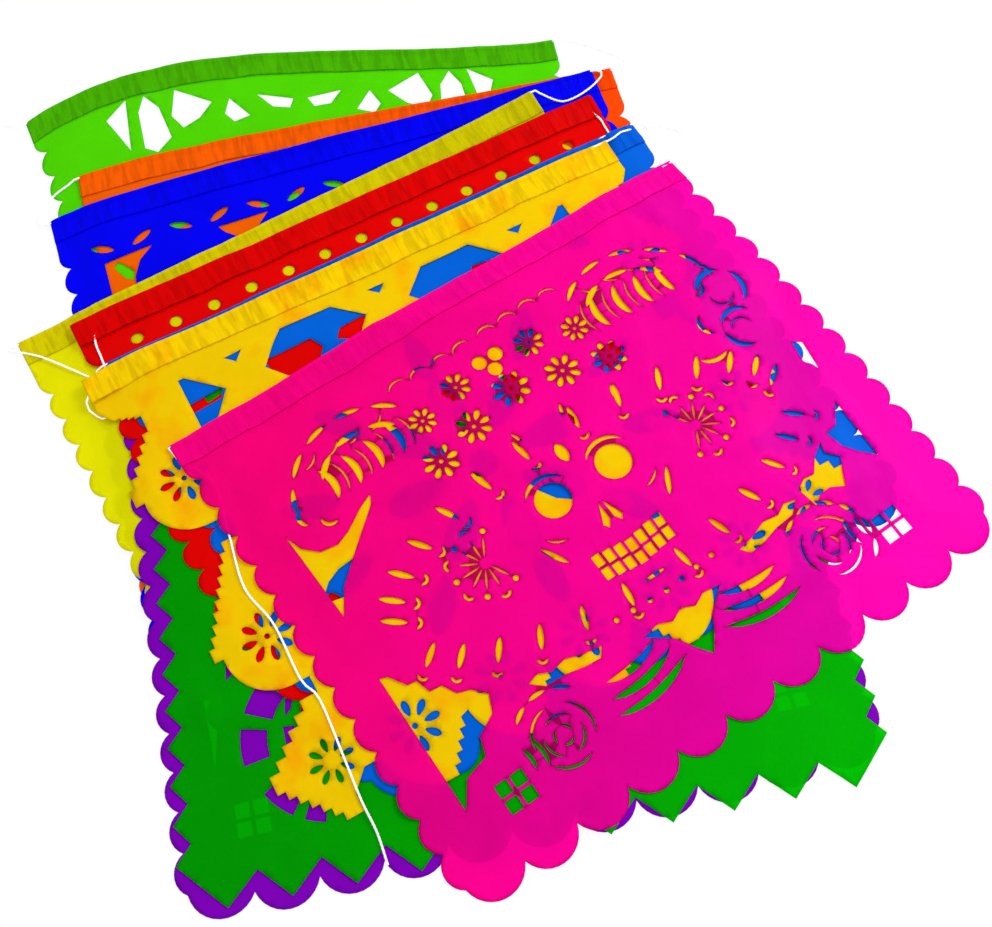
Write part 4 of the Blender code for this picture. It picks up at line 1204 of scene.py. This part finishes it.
    def cuts(self) -> list[Loop]:
        """The holes of the pattern."""
        middle = self.width / 2
        loops = self.skull(middle) + self.windows()
        loops += daisy(middle, 0.092, 8, 0.0140, 0.0044, 0.0016)
        loops += [disc(middle + u, v, 0.0052, 16) for u, v in mm((-6.5, 64), (6.5, 64), (0, 73.5))]
        left = []
        for off, v, reach, breadth, eye in (
                (0.036, 0.101, 0.0130, 0.0042, 0.0015), (0.030, 0.070, 0.0110, 0.0036, 0.0013),
                (0.068, 0.110, 0.0130, 0.0042, 0.0015), (0.062, 0.079, 0.0100, 0.0034, 0.0012)):
            left += daisy(middle - off, v, 8, reach, breadth, eye)
        for step in range(4):
            left.append(curved_slit(middle - 0.010 - 0.017 * step, 0.052, 0.0085, 200, 320, 0.0013))
        for step in (0, 4):
            left.append(petal(middle - 0.018 - 0.009 * step, 0.124 + 0.002 * step, 0.009, 0.0022, 70))
        left += self.feathers() + self.sunburst(middle) + self.bouquet(middle - 0.084, 0.184)
        for step in range(-3, 4):
            loops.append(disc(middle + 0.0125 * step, 0.2630 - 0.0008 * abs(step), 0.0018, 10))
        left += curved_slits(0.104, 0.299, 0.0290, (226, 258, 290), 24, 0.0028)
        left += self.rose(0.104, 0.299) + self.leaves() + panes(0.052, 0.300, 0.0085, 0.0025)
        return loops + both_sides(left, self.width)


@dataclass
class Stretch:
    """Points of the string's route over the floor plan, and the topmost flag that it lies on."""
    flag: str
    path: Loop
    heights: list[float] = field(default_factory=list)


@dataclass
class StringRun:
    """The one cotton string, from its bare start through every hem to its loose tail.

    Attributes:
        spacing: How close together the points of its smooth path are.
        hem_points: How many stretches it has in a hem.
        lead: How far it is led out of a hem's mouth.
        dips: How far inside a mouth that stands open it comes down to the fold.
        settled, settling: How far from the corner, and from those dips, it has settled in the fold.
        clearance: How far it stays off the film that it lies on.
        density: How many times closer than its listed points the pile's top rises under it.
        hems: Its points in each hem.
        start, links, tail: Its listed points before, between and after the hems.
    """
    spacing: float = 0.004
    hem_points: int = 24
    lead: float = 0.003
    dips: tuple[float, float] = (0.005, 0.018)
    settled: float = 0.02
    settling: float = 0.006
    clearance: float = 0.0002
    density: int = 12
    hems: dict[str, list[Vector]] = field(default_factory=dict)
    start: Stretch = field(default_factory=lambda: Stretch("lime_flag", [(-0.3600, 0.2440)]))
    links: list[list[Stretch]] = field(default_factory=lambda: [
        [Stretch("lime_flag", [(0.0693, 0.3272), (0.0955, 0.3170), (0.1120, 0.3068)])],
        [Stretch("lime_flag", [(-0.3040, 0.1878), (-0.3145, 0.1760), (-0.3215, 0.1570)])],
        [Stretch("blue_flag", [(0.0926, 0.2900), (0.0802, 0.2735), (0.0623, 0.2640), (0.0450, 0.2700)])],
        [Stretch("lemon_flag", [(-0.3255, 0.0490), (-0.3014, 0.0428), (-0.2740, 0.0310),
                                (-0.2550, 0.0215)])],
        [Stretch("purple_flag", [(0.1760, 0.1190), (0.1890, 0.1190), (0.1970, 0.1160)])],
        [Stretch("green_flag", [(-0.2470, 0.0290), (-0.2640, 0.0130)]),
         Stretch("red_flag", [(-0.2560, 0.0080), (-0.2520, 0.0240), (-0.2597, 0.0429)])],
        [Stretch("red_flag", [(0.0931, 0.2412), (0.1010, 0.2290), (0.1190, 0.2270), (0.1260, 0.2400)])],
        [Stretch("light_blue_flag", [(-0.2600, 0.0270), (-0.2575, 0.0160), (-0.2470, -0.0030)]),
         Stretch("red_flag", [(-0.2520, -0.0050), (-0.2620, 0.0015)])],
        [Stretch("light_blue_flag", [(0.1050, 0.2330), (0.1190, 0.2410), (0.1360, 0.2430),
                                     (0.1540, 0.2330)])],
    ])
    tail: list[Stretch] = field(default_factory=lambda: [
        Stretch("gold_flag", [(-0.2000, -0.0335), (-0.1930, -0.0410), (-0.1841, -0.0440), (-0.1700, -0.0570),
                              (-0.1586, -0.0900), (-0.1460, -0.1246), (-0.1261, -0.1478), (-0.1072, -0.1821),
                              (-0.0950, -0.1943), (-0.0774, -0.2315), (-0.0670, -0.2538)]),
        Stretch("green_flag", [(-0.0576, -0.2710), (-0.0506, -0.2891)]),
    ])

    def lay(self, flag: Flag, pile: Pile) -> None:
        """Lays what lies on a flag that has just joined the pile, and what its hem holds."""
        for stretch in [self.start, *[s for link in self.links for s in link], *self.tail]:
            if stretch.flag != flag.name:
                continue
            x = np.array([point[0] - PILE_MIDDLE[0] for point in stretch.path])
            y = np.array([point[1] - PILE_MIDDLE[1] for point in stretch.path])
            stretch.heights = list(pile.sample(pile.top, x, y) + STRING / 2 + self.clearance)
            steps = np.linspace(0, len(x) - 1, self.density * len(x))
            knots = np.arange(len(x))
            run = [np.interp(steps, knots, values) for values in (x, y, stretch.heights)]
            pile.raise_along(np.stack(run, axis=1), STRING)

    def thread(self, flag: Flag, pile: Pile, under: np.ndarray) -> None:
        """Runs the string through a hem.

        Args:
            flag: The flag whose hem it is.
            pile: The pile that it lies on.
            under: Heights of the flag's underside.
        """
        ends = []
        for inset, down in flag.mouths:
            lead = [(inset - self.lead, down)] if down < HEM_DEPTH else [(inset, down + self.lead)]
            if down > FOLD_RADIUS:
                lead += [(inset + self.dips[0], (down + FOLD_RADIUS) / 2),
                         (inset + self.dips[1], FOLD_RADIUS)]
            ends.append(lead)
        count = self.hem_points
        first = max(self.settled, ends[0][-1][0] + self.settling)
        middle = [(first + (flag.width - 2 * first) * n / count, FOLD_RADIUS) for n in range(count + 1)]
        route = ends[0] + middle + [(flag.width - u, v) for u, v in reversed(ends[1])]
        u, v = np.array([p[0] for p in route]), np.array([p[1] for p in route])
        x, y = flag.floor(u, v)
        z = pile.sample(under, x, y) + FOLD_RADIUS + FILM / 2
        self.hems[flag.name] = [Vector(place) for place in zip(x, y, z)]

    def route(self, flags: list[Flag]) -> list[Vector]:
        """Every point that the string passes, in order, before it is smoothed."""
        points = self.places([self.start])
        for number, flag in enumerate(flags):
            hem = self.hems[flag.name]
            points += hem if number % 2 == 0 else hem[::-1]
            points += self.places(self.links[number] if number < len(self.links) else self.tail)
        return points

    @staticmethod
    def places(stretches: list[Stretch]) -> list[Vector]:
        """The points of some stretches, as high as they were laid."""
        return [Vector((x - PILE_MIDDLE[0], y - PILE_MIDDLE[1], z))
                for stretch in stretches for (x, y), z in zip(stretch.path, stretch.heights)]

    def smoothed(self, points: list[Vector]) -> list[Vector]:
        """Points close together on one smooth curve through the given ones."""
        points = [points[0] * 2 - points[1], *points, points[-1] * 2 - points[-2]]
        result = []
        for before, start, end, after in zip(points, points[1:], points[2:], points[3:]):
            steps = max(1, round((end - start).length / self.spacing))
            for step in range(steps):
                t = step / steps
                pull = (end - before) * t + (2 * before - 5 * start + 4 * end - after) * t * t
                pull += (3 * start - before - 3 * end + after) * t ** 3
                place = start + pull / 2
                place.z = start.z + (end.z - start.z) * t
                result.append(place)
        return result + [points[-2]]

    def dress(self, flags: list[Flag], finish: "StringFinish") -> None:
        """Builds the string and hands it to the frame."""
        path = self.smoothed(self.route(flags))
        piece = finish.spun(path)
        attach(piece, "root")
        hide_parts("string")
        finish.rings(piece.data)


@dataclass(frozen=True)
class StringFinish:
    """White twisted cotton, spun along its path by a node tree."""
    slot: str = "string_cotton"
    colour: Colour = (0.96, 0.96, 0.94)
    plies: int = 3
    sides: int = 12
    pitch: float = 0.0075
    spacing: float = 0.0008
    groove: float = 0.10
    # How bright the string's painted glow is.
    glow: float = 0.30

    dent_scale = 380.0
    dent_depth = 0.0003
    dent_shade = 0.88

    def spun(self, path: list[Vector]) -> bpy.types.Object:
        """The string as a closed twisted tube along a path.

        Args:
            path: Its middle, from end to end.

        Returns:
            The mesh object, linked to the scene.
        """
        curve = bpy.data.curves.new("string_path", "CURVE")
        curve.dimensions = "3D"
        spline = curve.splines.new("POLY")
        spline.points.add(len(path) - 1)
        for point, place in zip(spline.points, path):
            point.co = (*place, 1)
        guide = placed("string_path", curve)
        guide.modifiers.new("twist", "NODES").node_group = self.twist_tree()
        bpy.context.view_layer.update()
        shown = guide.evaluated_get(bpy.context.evaluated_depsgraph_get())
        mesh = bpy.data.meshes.new_from_object(shown)
        mesh.name = "cotton_string"
        guide.modifiers.clear()
        bpy.data.objects.remove(guide)
        return placed("cotton_string", mesh)

    def rings(self, mesh: bpy.types.Mesh) -> list[tuple[float, float, float]]:
        """The middle of each ring of the string's mesh, from end to end."""
        places = np.zeros(len(mesh.vertices) * 3)
        mesh.vertices.foreach_get("co", places)
        middles = places.reshape(-1, self.sides, 3).mean(axis=1)
        return [tuple(float(value) for value in middle) for middle in middles]

    def twist_tree(self) -> Tree:
        """The node tree that turns a curve into plied string, with its sizes as inputs."""
        tree = bpy.data.node_groups.new("plied_string", "GeometryNodeTree")
        tree.interface.new_socket(name="Path", in_out="INPUT", socket_type="NodeSocketGeometry")
        sizes = {"Radius": STRING / 2 * 0.95, "Turns per metre": 1 / self.pitch, "Spacing": self.spacing,
                 "Groove": self.groove, "Plies": float(self.plies)}
        for name, value in sizes.items():
            socket = tree.interface.new_socket(name=name, in_out="INPUT", socket_type="NodeSocketFloat")
            socket.default_value = value
        tree.interface.new_socket(name="String", in_out="OUTPUT", socket_type="NodeSocketGeometry")
        given = tree.nodes.new("NodeGroupInput")
        even = wired(tree, "GeometryNodeResampleCurve",
                     {"Curve": given.outputs["Path"], "Length": given.outputs["Spacing"]}, mode="LENGTH")
        along = wired(tree, "GeometryNodeSplineParameter").outputs["Length"]
        angle = times(tree, times(tree, along, given.outputs["Turns per metre"]), 2 * math.pi)
        tilted = wired(tree, "GeometryNodeSetCurveTilt", {"Curve": even.outputs["Curve"], "Tilt": angle})
        tube = wired(tree, "GeometryNodeCurveToMesh", {
            "Curve": tilted.outputs["Curve"], "Profile Curve": self.ply_section(tree, given),
            "Fill Caps": True})
        real = wired(tree, "GeometryNodeRealizeInstances", {"Geometry": tube.outputs["Mesh"]})
        smooth = wired(tree, "GeometryNodeSetShadeSmooth", {0: real.outputs["Geometry"]})
        coat = wired(tree, "GeometryNodeSetMaterial",
                     {"Geometry": smooth.outputs[0], "Material": self.material()})
        wired(tree, "NodeGroupOutput", {"String": coat.outputs["Geometry"]})
        return tree

    def ply_section(self, tree: Tree, given: bpy.types.Node) -> Socket:
        """The string's cross section: a circle with one bulge for each ply."""
        circle = wired(tree, "GeometryNodeCurvePrimitiveCircle",
                       {"Resolution": self.sides, "Radius": given.outputs["Radius"]})
        place = wired(tree, "GeometryNodeInputPosition").outputs["Position"]
        split = wired(tree, "ShaderNodeSeparateXYZ", {"Vector": place}).outputs
        angle = maths(tree, "ARCTAN2", split["Y"], split["X"])
        wave = maths(tree, "COSINE", times(tree, angle, given.outputs["Plies"]))
        depth = times(tree, wave, given.outputs["Groove"])
        push = wired(tree, "ShaderNodeVectorMath", {"Scale": depth, "Vector": place}, operation="SCALE")
        bulged = wired(tree, "GeometryNodeSetPosition",
                       {"Geometry": circle.outputs["Curve"], "Offset": push.outputs["Vector"]})
        return bulged.outputs["Geometry"]

    def material(self) -> bpy.types.Material:
        """The cotton's material, with the fine dents of its twist, which are darker in colour as painted
        shade.
        """
        material = bpy.data.materials.new(self.slot)
        material.use_nodes = True
        tree = material.node_tree
        place = wired(tree, "ShaderNodeTexCoord").outputs["Object"]
        twist = wired(tree, "ShaderNodeTexWave",
                      {"Vector": place, "Scale": self.dent_scale, "Distortion": 1.5})
        dents = twist.outputs["Fac"]
        bump = wired(tree, "ShaderNodeBump", {"Distance": self.dent_depth, "Height": dents})
        # The colour goes darker in the twist's dents: painted shade.
        shaded = [value * self.dent_shade for value in self.colour]
        # A faint white glow is painted light, which keeps the string white where shade would grey it.
        wire(tree, tree.nodes["Principled BSDF"], {
            "Roughness": 0.9, "Emission Color": WHITE, "Emission Strength": self.glow,
            "Base Color": mixed(tree, dents, rgba(shaded), rgba(self.colour)),
            "Normal": bump.outputs["Normal"]})
        return material


@dataclass(frozen=True)
class Studio:
    """The camera, the white floor and the soft lamps."""
    target: tuple[float, float, float] = (0.01929, -0.04046, 0.0)
    eye: tuple[float, float, float] = (0.01929, -0.35884, 0.71421)
    focal_px: float = 1181.79
    frame_width: int = 992
    sensor: float = 36.0
    floor_reach: float = 6.0
    floor_grey: float = 0.9
    floor_glow: float = 0.85
    lamp_place: tuple[float, float, float] = (1.0, 0.7, 1.1)
    lamp_size: float = 0.6
    lamp_energy: float = 14.0
    sky: float = 0.90

    def camera(self) -> None:
        """Sets the camera where the photograph was taken from."""
        data = bpy.data.cameras.new("view")
        data.sensor_width = self.sensor
        data.lens = self.focal_px / self.frame_width * self.sensor
        data.clip_start = 0.01
        camera = placed("view", data)
        camera.location = self.eye
        aim = Vector(self.target) - Vector(self.eye)
        camera.rotation_euler = aim.to_track_quat("-Z", "Y").to_euler()
        bpy.context.scene.camera = camera

    def floor(self) -> None:
        """A wide white floor that glows for the camera and keeps a soft shadow."""
        reach = self.floor_reach
        corners = [(-reach, -reach, 0), (reach, -reach, 0), (reach, reach, 0), (-reach, reach, 0)]
        mesh = bpy.data.meshes.new("floor")
        mesh.from_pydata(corners, [], [(0, 1, 2, 3)])
        material = empty_material("floor_white")
        tree = material.node_tree
        grey = rgba((self.floor_grey,) * 3)
        paper = wired(tree, "ShaderNodeBsdfDiffuse", {"Color": grey}).outputs["BSDF"]
        white = wired(tree, "ShaderNodeEmission", {"Strength": 1.0}).outputs["Emission"]
        camera = wired(tree, "ShaderNodeLightPath").outputs["Is Camera Ray"]
        seen = shaders(tree, times(tree, camera, self.floor_glow), paper, white)
        wired(tree, "ShaderNodeOutputMaterial", {"Surface": seen})
        mesh.materials.append(material)
        placed("floor", mesh)

    def lamps(self) -> None:
        """A wide lamp over the far right, and an even white sky."""
        data = bpy.data.lights.new("window", "AREA")
        data.size = self.lamp_size
        data.energy = self.lamp_energy
        lamp = placed("window", data)
        lamp.location = self.lamp_place
        lamp.rotation_euler = (-lamp.location).to_track_quat("-Z", "Y").to_euler()
        world = bpy.data.worlds.new("sky")
        world.use_nodes = True
        tree = world.node_tree
        wire(tree, tree.nodes["Background"], {"Color": WHITE, "Strength": self.sky})
        bpy.context.scene.world = world

    def build(self) -> None:
        """Sets up all of it."""
        self.camera()
        self.floor()
        self.lamps()
        bpy.context.scene.view_settings.view_transform = "Standard"


def banner_flags() -> list[Flag]:
    """The ten flags, from the bottom of the pile to its top."""
    return [
        LimeFlag("lime_flag", (-0.3445, 0.2442), 11.62, 0.409,
                 FilmFinish("lime_film", (0.12, 0.80, 0.0), (0.10, 0.58, 0.0), through=0.30),
                 hem=Hem.BOWED, seed=3, bow_rise=0.036, lean=0.043),
        OrangeFlag("orange_flag", (-0.2972, 0.1934), 14.77, 0.411,
                   FilmFinish("orange_film", (1.0, 0.16, 0.0), (1.0, 0.15, 0.0), far=(1.0, 0.02, 0.0)),
                   first_cusp=0.045, seed=5, bow_rise=0.0075, bow_shape=0.5),
        BlueFlag("blue_flag", (-0.3121, 0.1540), 19.32, 0.4205,
                 FilmFinish("blue_film", (0.0, 0.0, 1.0), (0.0, 0.0, 0.94)), first_cusp=0.045, seed=8,
                 bow_rise=0.0075, bow_shape=0.5),
        LemonFlag("lemon_flag", (-0.3197, 0.0535), 31.23, 0.418,
                  FilmFinish("lemon_film", (0.90, 0.88, 0.0), (0.82, 0.74, 0.0), far=(0.52, 0.52, 0.0),
                             through=0.30),
                  first_cusp=0.049, seed=11),
        PurpleFlag("purple_flag", (-0.2459, 0.0224), 12.94, 0.426,
                   FilmFinish("purple_film", (0.28, 0.0, 0.60), (0.20, 0.0, 0.42)), seed=13),
        GreenFlag("green_flag", (-0.2319, 0.0349), 10.41, 0.425,
                  FilmFinish("green_film", (0.0, 0.42, 0.0), (0.0, 0.30, 0.0), far=(0.0, 0.62, 0.0),
                             tint=(0.0, 0.95, 0.0), through=0.30),
                  border=Border.TOOTHED, seed=17),
        RedFlag("red_flag", (-0.2840, 0.0656), 28.96, 0.419,
                FilmFinish("red_film", (0.88, 0.0, 0.0), (0.80, 0.0, 0.0)),
                border=Border.LOBED, hem=Hem.OPEN, first_cusp=0.040, seed=19, lean=0.045, lean_power=5.0,
                mouths=((0.0107, HEM_DEPTH), (0.0035, HEM_DEPTH))),
        LightBlueFlag("light_blue_flag", (-0.2541, 0.0344), 29.57, 0.423,
                      FilmFinish("light_blue_film", (0.0, 0.16, 0.82), (0.0, 0.14, 0.78)),
                      border=Border.LOBED, first_cusp=0.040, seed=23, lean=0.024, lean_power=1.2),
        GoldFlag("gold_flag", (-0.2689, 0.0213), 29.28, 0.415,
                 FilmFinish("gold_film", (1.0, 0.72, 0.0), (1.0, 0.76, 0.0), blotch=(1.0, 0.46, 0.0)),
                 border=Border.FANNED, seed=29, open_end=0.024,
                 mouths=((0.0, 0.0165), (0.0, FOLD_RADIUS))),
        MagentaFlag("magenta_flag", (-0.2037, -0.0286), 34.72, 0.419,
                    FilmFinish("magenta_film", (1.0, 0.0, 0.30), (1.0, 0.0, 0.34), far=(1.0, 0.0, 0.66),
                               tint=(1.0, 0.0, 0.6), through=0.40, wrinkle_shading=0.3, rim=0.85),
                    seed=31, belly=0.006, mouths=((0.0025, FOLD_RADIUS), (0.0, FOLD_RADIUS))),
    ]


def main() -> None:
    """Builds the scene, from the camera and the string's route to the last flag."""
    logging.basicConfig(level=logging.INFO, format="%(message)s")
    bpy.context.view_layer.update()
    Studio().build()
    pile, string, flags = Pile(), StringRun(), banner_flags()
    for flag in flags:
        under = flag.laid(pile)
        string.thread(flag, pile, under)
        flag.dress(pile, under)
        string.lay(flag, pile)
    string.dress(flags, StringFinish())


if __name__ == "__main__":
    main()
